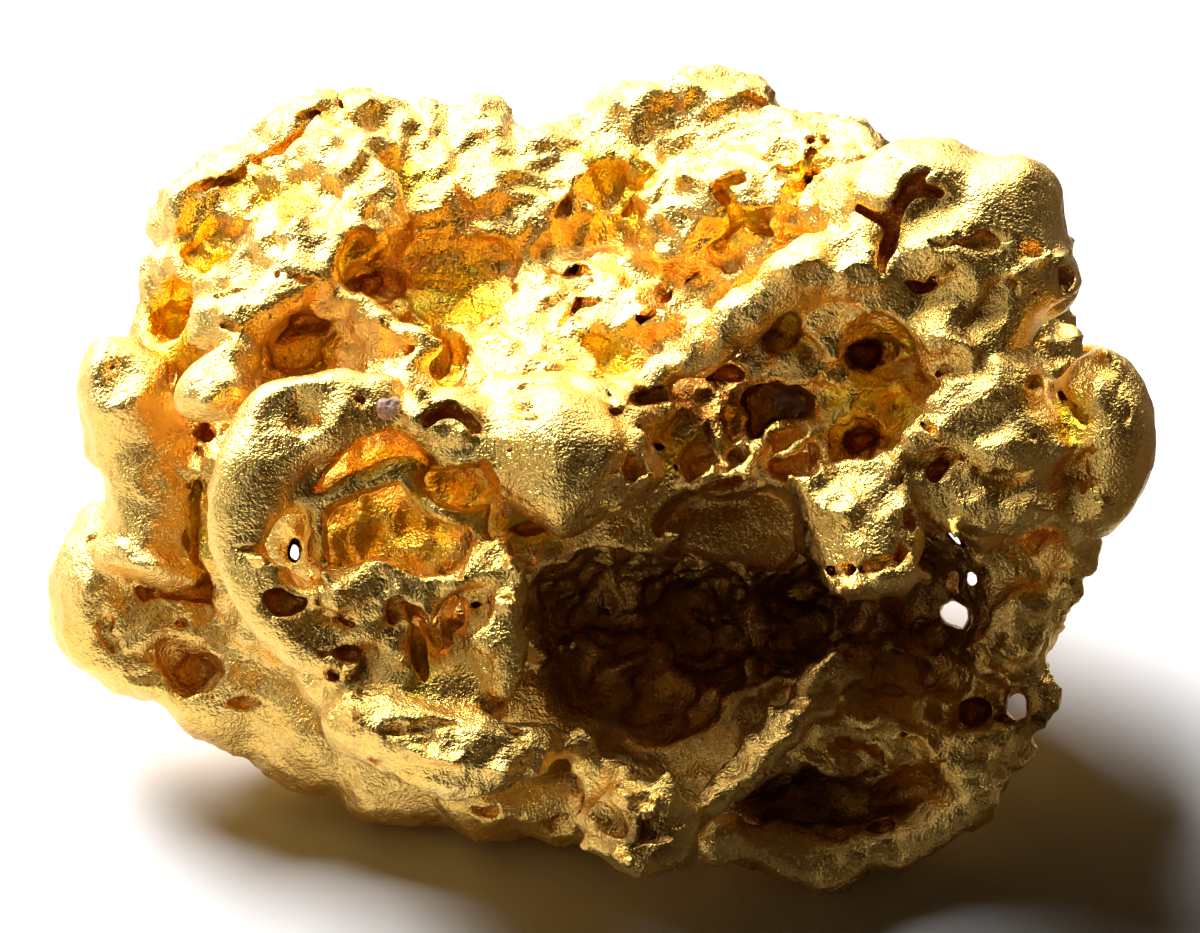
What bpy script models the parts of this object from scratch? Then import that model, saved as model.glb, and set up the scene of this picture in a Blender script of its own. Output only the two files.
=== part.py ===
"""A native gold nugget: one solid lump, with two grains of quartz left in its pockets.

The nugget was melted and hammered by nature, not made: a heavy trunk, swollen lobes and a
thick ring on its show face, a basin on top, and a cavern eaten into the front.  Each feature
is a swelling or a hollow of simple rounded shapes.  They are fused, cut, dented all over, and
thinned to flat facets.

Two frames are used, both in millimetres:
  face    across the show face, up it, and out of it (the face leans back from upright)
  ground  across, back and up, from the same zero
"""
import math

import bmesh
import bpy
from mathutils import Matrix, Vector

MM = 0.001                          # metres in a millimetre
FACE_LEAN = math.radians(40.0)      # how far the show face leans back from upright
FLAT_DEPTH = 0.30                   # what long rubbing has worn off the underside
VOXEL = 0.20                        # grain of the fused shape
FACETS = 9200                       # flat facets of the finished nugget
QUARTZ_GAP = 0.06                   # clear space round a grain of quartz

GOLD = (0.95, 0.66, 0.20, 1.0)
QUARTZ = (0.80, 0.68, 0.64, 1.0)

# Swellings in the face frame: centre, half sizes, roll about the face's normal in degrees.
LOBES = [
    # skyline behind the basin, from left to right
    ("back_left_knuckle", (-5.1, 6.6, -8.4), (1.25, 0.85, 1.5), 0),
    ("back_saddle_left", (-3.6, 6.3, -8.8), (1.0, 0.95, 1.4), 0),
    ("back_saddle_right", (-2.4, 6.35, -8.6), (1.0, 0.95, 1.4), 0),
    ("back_middle", (-0.8, 5.9, -8.6), (1.2, 1.05, 1.6), 0),
    ("back_top_left", (0.6, 6.4, -8.8), (1.1, 1.1, 1.6), 0),
    ("back_top", (2.1, 6.7, -8.8), (1.5, 1.05, 1.7), 5),
    ("back_right", (3.6, 6.0, -7.8), (1.4, 1.05, 1.6), -8),
    ("back_right_end", (4.8, 5.7, -6.6), (1.3, 1.0, 1.6), -8),
    ("basin_rise", (3.2, 4.6, -6.6), (2.8, 1.8, 2.0), 10),
    ("basin_back", (0.9, 5.5, -8.2), (1.6, 1.2, 1.4), 0),
    ("basin_left", (-1.8, 4.9, -8.0), (2.4, 1.4, 1.8), 0),
    ("basin_far_left", (-3.5, 4.6, -8.2), (1.7, 1.9, 1.9), 0),
    # upper left
    ("left_brow_low", (-8.35, 4.9, -7.4), (0.75, 1.0, 1.4), -15),
    ("left_brow", (-7.5, 5.6, -7.8), (1.0, 0.7, 1.3), 35),
    ("left_brow_top", (-6.3, 6.4, -8.2), (1.1, 0.7, 1.3), 45),
    ("left_cheek", (-8.5, 3.3, -7.0), (0.75, 1.3, 1.4), 0),
    ("left_bed", (-6.8, 4.0, -7.9), (2.2, 2.2, 2.0), 0),
    ("left_bed_low", (-8.2, 2.2, -7.0), (1.3, 1.4, 1.6), 0),
    ("arm_back", (-5.6, 5.8, -6.8), (1.5, 0.9, 1.3), 25),
    # left side
    ("knuckle", (-7.75, 1.25, -2.4), (0.85, 0.9, 0.95), 25),
    ("knuckle_top", (-7.4, 2.05, -2.9), (0.55, 0.45, 0.7), 0),
    ("left_lobe", (-9.7, 1.2, -5.2), (1.1, 1.2, 1.5), 0),
    ("left_lobe_low", (-9.4, 0.3, -5.6), (1.1, 0.8, 1.4), 0),
    ("column", (-9.0, -0.8, -5.5), (1.1, 1.9, 1.4), 0),
    ("column_foot", (-9.1, -2.2, -5.3), (1.2, 0.5, 1.2), -12),
    ("low_left", (-10.1, -2.7, -6.6), (1.0, 1.8, 1.6), 0),
    ("low_left_under", (-9.2, -3.6, -6.6), (1.5, 1.4, 1.5), -35),
    ("low_left_root", (-8.4, -2.4, -6.4), (1.4, 1.6, 1.4), 0),
    # keel along the lower left, down to the middle
    ("keel_left", (-7.4, -4.5, -6.4), (1.7, 1.5, 1.7), -35),
    ("keel_mid_left", (-5.8, -5.4, -6.1), (1.7, 1.4, 1.7), -20),
    ("keel_mid", (-4.0, -6.1, -5.8), (1.8, 1.3, 1.6), -20),
    ("keel_mid_right", (-2.2, -6.7, -5.4), (1.7, 1.15, 1.6), -12),
    ("keel_right", (-0.7, -7.0, -5.0), (1.4, 0.9, 1.3), -5),
    # what the ring and the nose grow from
    ("behind_ring", (-5.6, -2.6, -5.6), (2.4, 2.4, 1.8), 0),
    ("ring_back", (-4.9, -1.2, -4.2), (2.3, 2.2, 1.3), 0),
    ("chin_root", (-4.2, -4.4, -3.6), (2.2, 1.4, 2.2), -20),
    ("nose_root", (-1.6, 0.3, -4.2), (2.4, 1.3, 2.1), 0),
    # nose
    ("nose", (-0.9, 0.0, -1.05), (1.35, 1.4, 1.2), -10),
    ("nose_middle", (-2.3, 0.25, -1.3), (0.8, 0.95, 0.9), 0),
    ("nose_left", (-3.15, 0.85, -0.9), (0.85, 0.5, 0.75), 12),
    ("nose_left_low", (-3.0, 0.1, -1.4), (0.8, 0.5, 0.8), 0),
    ("nose_top", (-1.2, 1.2, -1.9), (1.6, 0.45, 0.9), 6),
    ("nose_tip", (0.85, -0.5, -1.5), (0.62, 0.9, 0.8), 0),
    ("nose_brow", (0.4, 0.75, -2.2), (1.0, 0.8, 1.0), 0),
    # shoulder, upper right
    ("shoulder_left", (5.2, 4.9, -3.8), (1.2, 1.2, 1.5), 0),
    ("shoulder_top", (6.3, 5.2, -3.3), (1.7, 1.35, 1.7), 0),
    ("shoulder", (8.0, 4.6, -3.3), (1.5, 1.55, 1.7), -20),
    ("shoulder_right", (8.4, 3.7, -3.4), (1.15, 1.4, 1.5), -10),
    ("shoulder_front", (6.8, 4.0, -2.5), (1.4, 1.0, 1.2), 12),
    ("shoulder_ridge", (5.2, 4.0, -2.7), (1.0, 0.9, 1.1), 0),
    ("wall_under_ridge", (5.0, 2.7, -3.9), (2.6, 1.2, 1.5), 10),
    ("neck", (7.8, 2.7, -3.4), (1.1, 1.1, 1.5), 0),
    ("neck_front", (6.9, 2.3, -2.3), (0.8, 0.7, 0.9), 40),
    # cheek and knob, right
    ("cheek_top", (7.7, 1.4, -2.5), (1.25, 0.9, 1.2), 0),
    ("cheek", (8.1, 0.2, -2.6), (1.3, 1.2, 1.5), 0),
    ("cheek_left", (7.0, 0.3, -2.3), (1.0, 1.0, 1.1), 0),
    ("cheek_root", (7.8, 0.6, -4.2), (1.8, 1.6, 1.6), 0),
    ("cheek_low", (8.0, -1.05, -2.5), (1.5, 0.6, 1.2), 6),
    ("knob", (10.1, 0.3, -3.2), (0.95, 1.75, 1.3), 3),
    ("knob_low", (9.8, -1.0, -3.1), (0.95, 0.65, 1.1), 0),
    ("shelf", (5.9, -0.55, -2.2), (1.3, 0.5, 0.9), 0),
    ("shelf_left", (4.6, -0.7, -2.3), (1.0, 0.45, 0.8), -12),
    ("pocket_bed", (3.8, 1.0, -5.0), (3.0, 2.0, 1.6), 0),
    # thin wall right of the cavern, and the bowl under it
    ("cavern_wall", (8.4, -2.6, -5.0), (1.2, 1.9, 1.3), -20),
    ("cavern_wall_low", (7.6, -4.4, -5.8), (1.3, 1.6, 1.0), 0),
    ("bowl", (3.4, -4.4, -6.3), (4.8, 2.6, 2.2), 0),
    ("bowl_right", (4.3, -6.4, -5.5), (3.0, 1.6, 1.2), 0),
    ("bowl_left", (-1.5, -4.6, -6.3), (3.0, 2.2, 2.2), 0),
]

# Swellings in the ground frame: the trunk, and the back and the underside behind it.
TRUNK = [
    ("core", (0.0, 5.5, -4.35), (7.8, 5.6, 3.6), 0),
    ("trunk_right", (5.2, 5.3, -3.65), (4.4, 4.6, 3.2), 0),
    ("trunk_left", (-5.2, 5.15, -4.6), (3.9, 4.6, 3.0), 0),
    ("back_hump_left", (-4.2, 9.2, -4.4), (2.6, 2.0, 2.3), 12),
    ("back_hump_middle", (0.2, 10.2, -4.0), (2.8, 1.9, 2.5), -6),
    ("back_hump_right", (4.6, 9.0, -4.2), (2.5, 2.0, 2.2), -15),
    ("back_knob", (2.5, 10.9, -2.3), (1.2, 1.0, 1.1), 0),
    ("back_lug", (-2.4, 10.6, -5.6), (1.3, 1.0, 1.0), 0),
    ("belly", (0.4, 4.2, -7.0), (5.6, 3.0, 2.1), 0),
    ("heel_left", (-3.4, 7.0, -7.4), (3.0, 2.3, 2.7), 20),
    ("heel_middle", (-0.2, 6.0, -7.6), (2.6, 2.2, 2.0), 0),
    ("heel_right", (3.2, 6.7, -7.4), (2.8, 2.5, 2.7), -10),
    ("side_left", (-8.2, 6.3, -4.6), (1.7, 2.0, 1.8), 0),
    ("side_right", (8.3, 6.4, -3.8), (1.7, 2.2, 2.0), 0),
    ("side_right_low", (7.0, 5.4, -6.4), (1.6, 1.8, 1.4), 0),
]

# Beads of gold along a line in the face frame: across, up, out, radius.
ROPES = [
    ("arm", [(-7.9, 2.75, -3.7, 0.7), (-7.1, 3.0, -3.4, 0.75), (-6.3, 3.5, -3.5, 0.7),
             (-5.6, 4.1, -3.9, 0.7), (-4.9, 4.6, -4.5, 0.65), (-4.6, 5.2, -5.2, 0.6),
             (-4.9, 5.8, -6.0, 0.6)]),
    ("arm_root", [(-7.4, 3.0, -5.0, 1.0), (-6.2, 3.9, -5.2, 1.1), (-5.2, 4.7, -6.0, 1.1)]),
    ("strap", [(-5.6, 3.1, -3.6, 0.4), (-4.9, 2.9, -3.4, 0.4), (-4.2, 2.4, -3.1, 0.4),
               (-3.7, 1.95, -2.8, 0.38), (-3.5, 1.5, -2.5, 0.38), (-3.9, 1.1, -2.2, 0.45)]),
    ("strap_foot", [(-5.0, 2.2, -4.2, 0.7), (-4.3, 1.5, -3.2, 0.6), (-4.1, 1.0, -2.4, 0.55)]),
    ("ring", [(-4.1, 0.75, -1.2, 0.5), (-4.8, 0.95, -0.95, 0.7), (-5.7, 0.85, -0.85, 0.88),
              (-6.55, 0.45, -0.9, 0.95), (-6.95, -0.3, -0.9, 0.9), (-7.1, -1.2, -0.9, 0.85),
              (-7.0, -2.2, -0.8, 0.72), (-6.7, -3.0, -0.8, 0.6), (-6.1, -3.7, -0.9, 0.5),
              (-5.5, -4.2, -0.9, 0.45)]),
    ("ridge", [(1.1, 1.45, -2.7, 0.4), (2.0, 2.1, -2.5, 0.5), (2.9, 2.9, -2.3, 0.6),
               (3.9, 3.6, -2.2, 0.75), (4.8, 3.8, -2.1, 0.8), (5.8, 3.5, -2.1, 0.7),
               (6.6, 3.1, -2.1, 0.6)]),
]

# Hollows in the face frame, as long out of the face as they are open to it.
HOLLOWS = [
    ("cavern_left", (0.1, -3.1, -2.6), (1.6, 1.4, 3.4), 0),
    ("cavern_middle", (2.2, -3.3, -2.6), (1.9, 1.6, 4.2), 0),
    ("cavern_right", (4.4, -3.2, -3.0), (2.0, 1.25, 4.0), 0),
    ("cavern_far_right", (6.4, -2.9, -3.8), (1.5, 1.35, 3.0), 0),
    ("cavern_low_left", (-0.3, -4.6, -2.6), (1.1, 1.2, 3.0), 0),
    ("cavern_low", (1.1, -4.9, -2.6), (1.6, 1.35, 3.2), 0),
    ("cavern_low_right", (6.3, -4.4, -4.0), (1.3, 0.8, 2.0), 0),
    ("low_pocket", (4.3, -7.0, -3.4), (1.9, 0.6, 2.2), 5),
    ("low_pocket_end", (5.9, -6.8, -3.8), (0.9, 0.45, 1.8), 0),
    ("ring_bowl", (-4.7, -1.75, -1.2), (1.7, 0.75, 2.4), 0),
    ("ring_bowl_left", (-5.6, -1.8, -1.2), (0.9, 0.6, 1.9), 0),
    ("ring_crescent", (-4.6, -0.1, -1.0), (1.1, 0.35, 1.6), 18),
    ("ring_pocket", (-3.1, -0.85, -1.0), (0.85, 0.5, 1.7), 0),
    ("web_pocket_top", (5.4, 2.1, -2.2), (0.8, 0.5, 1.6), 0),
    ("web_pocket_small", (3.7, 2.3, -2.4), (0.45, 0.5, 1.0), 0),
    ("web_pocket_quartz", (3.3, 0.9, -2.6), (1.1, 0.6, 1.3), 0),
    ("web_pocket_right", (5.1, 0.3, -2.4), (0.7, 0.7, 1.5), 0),
    ("web_pocket_left", (1.9, 1.2, -2.4), (0.8, 0.35, 1.2), 0),
    ("web_pocket_low", (3.9, 0.0, -2.6), (0.5, 0.6, 1.2), 0),
    ("under_nose", (2.3, -0.4, -2.4), (0.9, 0.6, 1.2), 0),
    ("under_lip", (3.4, -1.4, -2.8), (0.9, 0.4, 1.3), 0),
    ("behind_nose", (-3.1, 2.0, -3.2), (0.4, 0.8, 1.5), 0),
    ("basin_hollow", (-3.0, 3.4, -4.8), (1.1, 0.8, 1.2), 0),
    ("basin_dip", (0.8, 2.3, -4.0), (1.2, 0.7, 0.8), 0),
    ("under_strap", (-6.3, 2.1, -3.2), (0.75, 0.55, 1.3), 0),
    ("left_hollow", (-8.9, 2.9, -5.6), (0.8, 0.6, 1.1), 0),
    ("arm_hollow", (-6.4, 5.0, -5.6), (1.1, 0.4, 0.9), 20),
    ("brow_hollow", (-8.1, 4.3, -6.2), (0.5, 0.7, 0.9), 0),
    ("low_left_hollow", (-8.3, -4.2, -5.0), (0.9, 0.5, 0.9), -25),
]

# Hollows in the ground frame, in the back and the sides.
BACK_HOLLOWS = [
    ("back_pocket", (-1.9, 11.4, -3.6), (0.9, 1.6, 0.8), 0),
    ("back_slot", (3.4, 11.2, -4.6), (1.3, 1.3, 0.5), 20),
    ("side_pocket", (10.4, 5.8, -3.6), (1.3, 1.0, 0.7), 0),
    ("left_pocket", (-10.2, 6.6, -4.8), (1.2, 0.8, 0.7), 0),
]

# Narrow cuts in the face frame: across, up, out, radius.
CRACKS = [
    ("window", [(7.1, -3.3, -4.0, 0.35), (7.2, -3.3, -7.0, 0.4), (7.4, -3.3, -11.0, 0.5)]),
    ("loop_hole", [(8.3, -5.15, -3.8, 0.3), (8.4, -5.15, -5.4, 0.3)]),
    ("column_gap", [(-7.85, -0.4, -3.9, 0.24), (-8.0, -1.2, -4.1, 0.26), (-8.0, -2.0, -4.2, 0.2)]),
    ("star_left", [(5.2, 4.85, -2.1, 0.28), (5.7, 4.6, -1.8, 0.3), (5.8, 4.0, -1.6, 0.3),
                   (5.5, 3.5, -1.6, 0.24)]),
    ("star_right", [(5.8, 4.5, -1.8, 0.28), (6.1, 5.0, -1.9, 0.32), (6.3, 5.4, -2.1, 0.32),
                    (6.7, 5.6, -2.2, 0.28)]),
    ("star_arm", [(6.3, 5.2, -1.9, 0.24), (6.9, 5.1, -1.9, 0.22)]),
    ("neck_gap", [(9.0, 2.2, -2.6, 0.16), (9.2, 3.0, -2.9, 0.18), (9.5, 3.5, -3.2, 0.14)]),
    ("nose_slot", [(-3.6, 0.6, -0.3, 0.14), (-3.1, 0.7, -0.15, 0.16), (-2.6, 0.65, -0.2, 0.14)]),
]

# What stands in front of the hollows, in the face frame.
FRONT_LOBES = [
    ("post_low", (-2.1, -3.9, -1.2), (0.7, 1.0, 0.9), 8),
    ("post_high", (-1.95, -2.9, -1.1), (0.55, 0.75, 0.8), 20),
    ("post_head", (-2.6, -2.6, -1.2), (0.55, 0.5, 0.7), 0),
    ("ledge_face", (-4.9, -3.25, -1.2), (1.2, 0.6, 0.7), -15),
    ("ledge_face_right", (-3.9, -3.1, -1.0), (0.7, 0.5, 0.6), -5),
    ("chin_body", (-3.5, -4.6, -1.6), (1.6, 0.8, 1.0), -25),
    ("lump", (5.2, -1.9, -1.7), (1.0, 0.85, 0.85), 0),
    ("lump_foot", (5.1, -2.6, -1.6), (0.8, 0.35, 0.6), 4),
    ("foot_knob", (0.8, -7.4, -1.7), (1.1, 0.95, 1.0), 0),
    ("foot_neck", (0.4, -6.6, -2.8), (0.75, 0.6, 1.4), 0),
]
FRONT_ROPES = [
    ("chin", [(-5.1, -4.9, -1.1, 0.55), (-4.6, -5.4, -0.9, 0.8), (-3.6, -5.75, -0.8, 0.9),
              (-2.5, -5.95, -0.8, 0.85), (-1.5, -5.85, -1.0, 0.65), (-0.9, -5.6, -1.3, 0.4)]),
    ("chin_link", [(-1.0, -5.6, -1.3, 0.4), (-0.3, -6.1, -1.9, 0.35), (0.3, -6.5, -2.4, 0.45)]),
    ("ledge", [(-6.9, -2.5, -0.7, 0.25), (-6.0, -2.65, -0.6, 0.25), (-5.2, -2.6, -0.5, 0.3),
               (-4.4, -2.5, -0.55, 0.35), (-3.6, -2.75, -0.6, 0.35), (-2.7, -2.4, -0.8, 0.4),
               (-2.0, -2.0, -1.1, 0.4)]),
    ("bowl_bar", [(-5.7, -0.95, -1.0, 0.16), (-5.0, -0.75, -0.75, 0.2), (-4.2, -0.4, -0.75, 0.2),
                  (-3.6, -0.25, -1.0, 0.18)]),
    ("lip", [(1.6, -0.5, -2.2, 0.45), (2.4, -0.9, -2.6, 0.4), (3.2, -0.8, -2.7, 0.4),
             (4.0, -0.6, -2.5, 0.4)]),
    ("rib", [(5.0, -4.1, -4.4, 0.35), (4.5, -4.5, -3.8, 0.42), (3.8, -5.2, -3.2, 0.5),
             (3.1, -6.0, -2.8, 0.52), (2.3, -6.7, -2.5, 0.5), (1.7, -7.2, -2.2, 0.4)]),
    ("rim", [(9.5, -1.9, -4.0, 0.65), (9.0, -2.7, -4.2, 0.6), (8.5, -3.4, -4.4, 0.6),
             (8.2, -4.0, -4.5, 0.6), (8.6, -4.6, -4.7, 0.42), (8.8, -5.2, -4.8, 0.38),
             (8.4, -5.8, -4.8, 0.4), (7.7, -6.0, -4.7, 0.45), (7.4, -6.6, -4.7, 0.5),
             (7.0, -7.2, -4.7, 0.58), (6.2, -7.7, -4.7, 0.58), (5.2, -8.0, -4.6, 0.55),
             (4.2, -8.2, -4.5, 0.55), (3.2, -7.9, -4.3, 0.5), (2.2, -7.7, -3.9, 0.5)]),
    ("band", [(3.9, -5.5, -4.4, 0.4), (5.0, -5.5, -4.5, 0.45), (6.0, -5.7, -4.6, 0.48),
              (7.0, -6.1, -4.7, 0.48), (7.6, -6.2, -4.7, 0.4)]),
]

# Grains of quartz in the face frame: node name, centre, half sizes, roll.
QUARTZ_GRAINS = [
    ("quartz_grain_saddle", (-4.25, 0.72, -0.62), (0.34, 0.26, 0.30), 20),
    ("quartz_grain_pocket", (3.9, 0.85, -3.05), (0.50, 0.46, 0.50), 35),
]

# Dents over the whole skin: size across, depth.
DENTS = [
    (2.6, 0.8),
    (1.0, 0.5),
]

FACE_TO_GROUND = Matrix.Rotation(math.pi / 2.0 - FACE_LEAN, 4, "X")


def clear_scene():
    """Start from an empty scene."""
    for item in list(bpy.data.objects):
        bpy.data.objects.remove(item)


def add_ball(mesh, frame, centre, sizes, roll=0.0, fineness=3):
    """One rounded swelling, as an ellipsoid of small triangles."""
    matrix = Matrix.Scale(MM, 4) @ frame @ Matrix.Translation(centre)
    matrix @= Matrix.Rotation(math.radians(roll), 4, "Z") @ Matrix.Diagonal((*sizes, 1.0))
    bmesh.ops.create_icosphere(mesh, subdivisions=fineness, radius=1.0, matrix=matrix)


def curve_point(ends, along):
    """A point of the smooth line through the middle two of four beads."""
    before, start, end, after = ends
    bend = (end - start) * 3.0 + before - after
    ease = before * 2.0 - start * 5.0 + end * 4.0 - after
    return (start * 2.0 + (end - before) * along + ease * along ** 2 + bend * along ** 3) * 0.5


def add_rope(mesh, frame, beads):
    """A rope of overlapping balls along a smooth line through the given beads."""
    beads = [Vector(bead) for bead in beads]
    line = [beads[0] * 2.0 - beads[1], *beads, beads[-1] * 2.0 - beads[-2]]
    for index in range(1, len(line) - 2):
        start, end = line[index], line[index + 1]
        spacing = 0.35 * min(start[3], end[3])
        steps = max(2, math.ceil((end - start).to_3d().length / spacing))
        for step in range(steps + 1):
            bead = curve_point(line[index - 1:index + 3], step / steps)
            add_ball(mesh, frame, bead.to_3d(), (bead[3],) * 3, fineness=2)


def new_object(name, mesh):
    """Turn a bmesh into an object of the scene."""
    data = bpy.data.meshes.new(name)
    mesh.to_mesh(data)
    mesh.free()
    item = bpy.data.objects.new(name, data)
    bpy.context.scene.collection.objects.link(item)
    return item


def apply_modifiers(item):
    """Keep what the object's modifiers make of it, and drop the modifiers."""
    graph = bpy.context.evaluated_depsgraph_get()
    shaped = bpy.data.meshes.new_from_object(item.evaluated_get(graph))
    item.modifiers.clear()
    item.data = shaped


def fuse(item, smoothing):
    """Melt overlapping swellings into one skin, and round its creases."""
    remesh = item.modifiers.new("fuse", "REMESH")
    remesh.mode = "VOXEL"
    remesh.voxel_size = VOXEL * MM
    smooth = item.modifiers.new("round", "SMOOTH")
    smooth.iterations = smoothing
    apply_modifiers(item)


def combine(item, other, operation):
    """Join the other object to this one or cut it away, and drop the other."""
    boolean = item.modifiers.new(operation.lower(), "BOOLEAN")
    boolean.operation = operation
    boolean.object = other
    apply_modifiers(item)
    bpy.data.objects.remove(other)


def swellings(name, ground_lobes, face_lobes, face_ropes, smoothing):
    """One fused object from swellings in both frames."""
    mesh = bmesh.new()
    for _, centre, sizes, roll in ground_lobes:
        add_ball(mesh, Matrix.Identity(4), centre, sizes, roll)
    for _, centre, sizes, roll in face_lobes:
        add_ball(mesh, FACE_TO_GROUND, centre, sizes, roll)
    for _, beads in face_ropes:
        add_rope(mesh, FACE_TO_GROUND, beads)
    item = new_object(name, mesh)
    fuse(item, smoothing)
    return item


def dent(item):
    """Push the skin in and out by soft noise, as river stones have."""
    for size, depth in DENTS:
        clouds = bpy.data.textures.new("dents", "CLOUDS")
        clouds.noise_scale = size * MM
        clouds.cloud_type = "COLOR"
        displace = item.modifiers.new("dents", "DISPLACE")
        displace.texture = clouds
        displace.texture_coords = "LOCAL"
        displace.direction = "RGB_TO_XYZ"
        displace.strength = depth * MM
    fuse(item, 1)


def keep_largest_piece(item):
    """Drop closed bubbles and crumbs, so that one skin is left."""
    mesh = bmesh.new()
    mesh.from_mesh(item.data)
    unseen = set(mesh.verts)
    pieces = []
    while unseen:
        piece = set()
        front = [unseen.pop()]
        while front:
            vertex = front.pop()
            piece.add(vertex)
            for edge in vertex.link_edges:
                neighbour = edge.other_vert(vertex)
                if neighbour in unseen:
                    unseen.remove(neighbour)
                    front.append(neighbour)
        pieces.append(piece)
    pieces.sort(key=len)
    for piece in pieces[:-1]:
        bmesh.ops.delete(mesh, geom=list(piece), context="VERTS")
    mesh.to_mesh(item.data)
    mesh.free()


def thin_to_facets(item):
    """Leave only as many flat facets as the shape needs."""
    item.data.calc_loop_triangles()
    decimate = item.modifiers.new("facets", "DECIMATE")
    decimate.ratio = FACETS / len(item.data.loop_triangles)
    apply_modifiers(item)


def lowest_point(item):
    """Height of the object's lowest vertex."""
    return min(vertex.co.z for vertex in item.data.vertices)


def wear_flat(item):
    """Slice a thin layer off the underside, where the nugget rests."""
    mesh = bmesh.new()
    mesh.from_mesh(item.data)
    plane = (0.0, 0.0, lowest_point(item) + FLAT_DEPTH * MM)
    everything = [*mesh.verts, *mesh.edges, *mesh.faces]
    cut = bmesh.ops.bisect_plane(mesh, geom=everything, plane_co=plane, plane_no=(0.0, 0.0, 1.0),
                                 clear_inner=True)
    rim = [part for part in cut["geom_cut"] if isinstance(part, bmesh.types.BMEdge)]
    bmesh.ops.holes_fill(mesh, edges=rim)
    bmesh.ops.triangulate(mesh, faces=mesh.faces)
    mesh.to_mesh(item.data)
    mesh.free()


def gold_nugget():
    """The nugget: trunk and lobes, hollows cut in, front features added, then dented."""
    nugget = swellings("gold_nugget", TRUNK, LOBES, ROPES, 1)
    hollows = swellings("hollows", BACK_HOLLOWS, HOLLOWS, [], 1)
    combine(nugget, hollows, "DIFFERENCE")
    front = swellings("front", [], FRONT_LOBES, FRONT_ROPES, 1)
    combine(nugget, front, "UNION")
    cracks = swellings("cracks", [], [], CRACKS, 0)
    combine(nugget, cracks, "DIFFERENCE")
    fuse(nugget, 0)
    dent(nugget)
    keep_largest_piece(nugget)
    thin_to_facets(nugget)
    wear_flat(nugget)
    return nugget


def quartz_grain(name, centre, sizes, roll, spare=0.0):
    """A rounded grain of quartz, or with spare room the socket that holds it."""
    mesh = bmesh.new()
    add_ball(mesh, FACE_TO_GROUND, centre, [size + spare for size in sizes], roll, fineness=2)
    return new_object(name, mesh)


def give_material(item, name, colour, roughness, metallic):
    """One plain material over the whole object."""
    material = bpy.data.materials.new(name)
    material.use_nodes = True
    shader = material.node_tree.nodes["Principled BSDF"]
    shader.inputs["Base Color"].default_value = colour
    shader.inputs["Roughness"].default_value = roughness
    shader.inputs["Metallic"].default_value = metallic
    item.data.materials.clear()
    item.data.materials.append(material)


def stand_on_ground(items):
    """Put the middle of the nugget's footprint at the origin, and its flat at height zero."""
    nugget = items[0]
    spots = [vertex.co for vertex in nugget.data.vertices]
    middle = [(min(spot[axis] for spot in spots) + max(spot[axis] for spot in spots)) / 2.0
              for axis in range(2)]
    drop = Matrix.Translation((-middle[0], -middle[1], -lowest_point(nugget)))
    for item in items:
        item.data.transform(drop)


def build():
    """Nugget first, then each grain of quartz in a socket of its own."""
    clear_scene()
    nugget = gold_nugget()
    give_material(nugget, "gold", GOLD, 0.32, 1.0)
    grains = []
    for name, centre, sizes, roll in QUARTZ_GRAINS:
        socket = quartz_grain("socket", centre, sizes, roll, QUARTZ_GAP)
        combine(nugget, socket, "DIFFERENCE")
        grain = quartz_grain(name, centre, sizes, roll)
        give_material(grain, name, QUARTZ, 0.15, 0.0)
        grains.append(grain)
    stand_on_ground([nugget, *grains])


build()
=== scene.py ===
import math

import bmesh
import bpy
from mathutils import Matrix, Vector
from mathutils.bvhtree import BVHTree
from mathutils.kdtree import KDTree


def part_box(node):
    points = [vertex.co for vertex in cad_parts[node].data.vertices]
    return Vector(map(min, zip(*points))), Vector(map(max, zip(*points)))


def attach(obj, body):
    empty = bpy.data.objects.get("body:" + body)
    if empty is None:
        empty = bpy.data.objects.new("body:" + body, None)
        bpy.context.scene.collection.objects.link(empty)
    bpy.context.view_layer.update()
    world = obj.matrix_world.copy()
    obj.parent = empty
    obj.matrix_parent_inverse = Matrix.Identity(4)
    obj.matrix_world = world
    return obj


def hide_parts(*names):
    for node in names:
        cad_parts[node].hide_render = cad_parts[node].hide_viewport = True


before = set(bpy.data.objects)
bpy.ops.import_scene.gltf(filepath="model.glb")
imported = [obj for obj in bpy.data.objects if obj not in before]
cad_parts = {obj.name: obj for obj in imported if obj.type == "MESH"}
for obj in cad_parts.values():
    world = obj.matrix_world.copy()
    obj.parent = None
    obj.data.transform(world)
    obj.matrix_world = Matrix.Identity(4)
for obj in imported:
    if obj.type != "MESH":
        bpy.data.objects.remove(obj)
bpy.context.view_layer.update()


# ---- The trunk ---------------------------------------------------------------------------
# The nugget is one piece of native gold, solid and heavy, that rivers have rolled and rubbed.
# It is shaped in millimetres, as swellings melted into one skin and hollows eaten out of it.
# The trunk carries everything; its humped back and its worn underside are plain.
SHOW_FACE = Matrix.Rotation(math.radians(50.0), 4, "X")     # across, up the face, out of it
GROUND = Matrix.Identity(4)                                 # across, back, up
BEAD_GAP = 0.5                                              # between beads, in radii

gold = bmesh.new()       # swellings that are melted into the body
hollows = bmesh.new()    # what is eaten out of the body
front = bmesh.new()      # what stands in front of the hollows
cuts = bmesh.new()       # cracks and holes through the front
knobs, ridges, bridges = [], [], []     # fine relief, laid on the skin once it is dented
pits, grooves, pockets = [], [], []     # eaten into the finished skin
flats = []                              # hammered flats: centre, radius, how deep


def add_ball(mesh, place, centre, sizes, roll=0.0, fineness=3):
    """One rounded swelling or hollow, rolled about its place's own third axis."""
    matrix = place @ Matrix.Translation(centre) @ Matrix.Rotation(math.radians(roll), 4, "Z")
    matrix @= Matrix.Diagonal((*sizes, 1.0))
    bmesh.ops.create_icosphere(mesh, subdivisions=fineness, radius=1.0, matrix=matrix)


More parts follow.
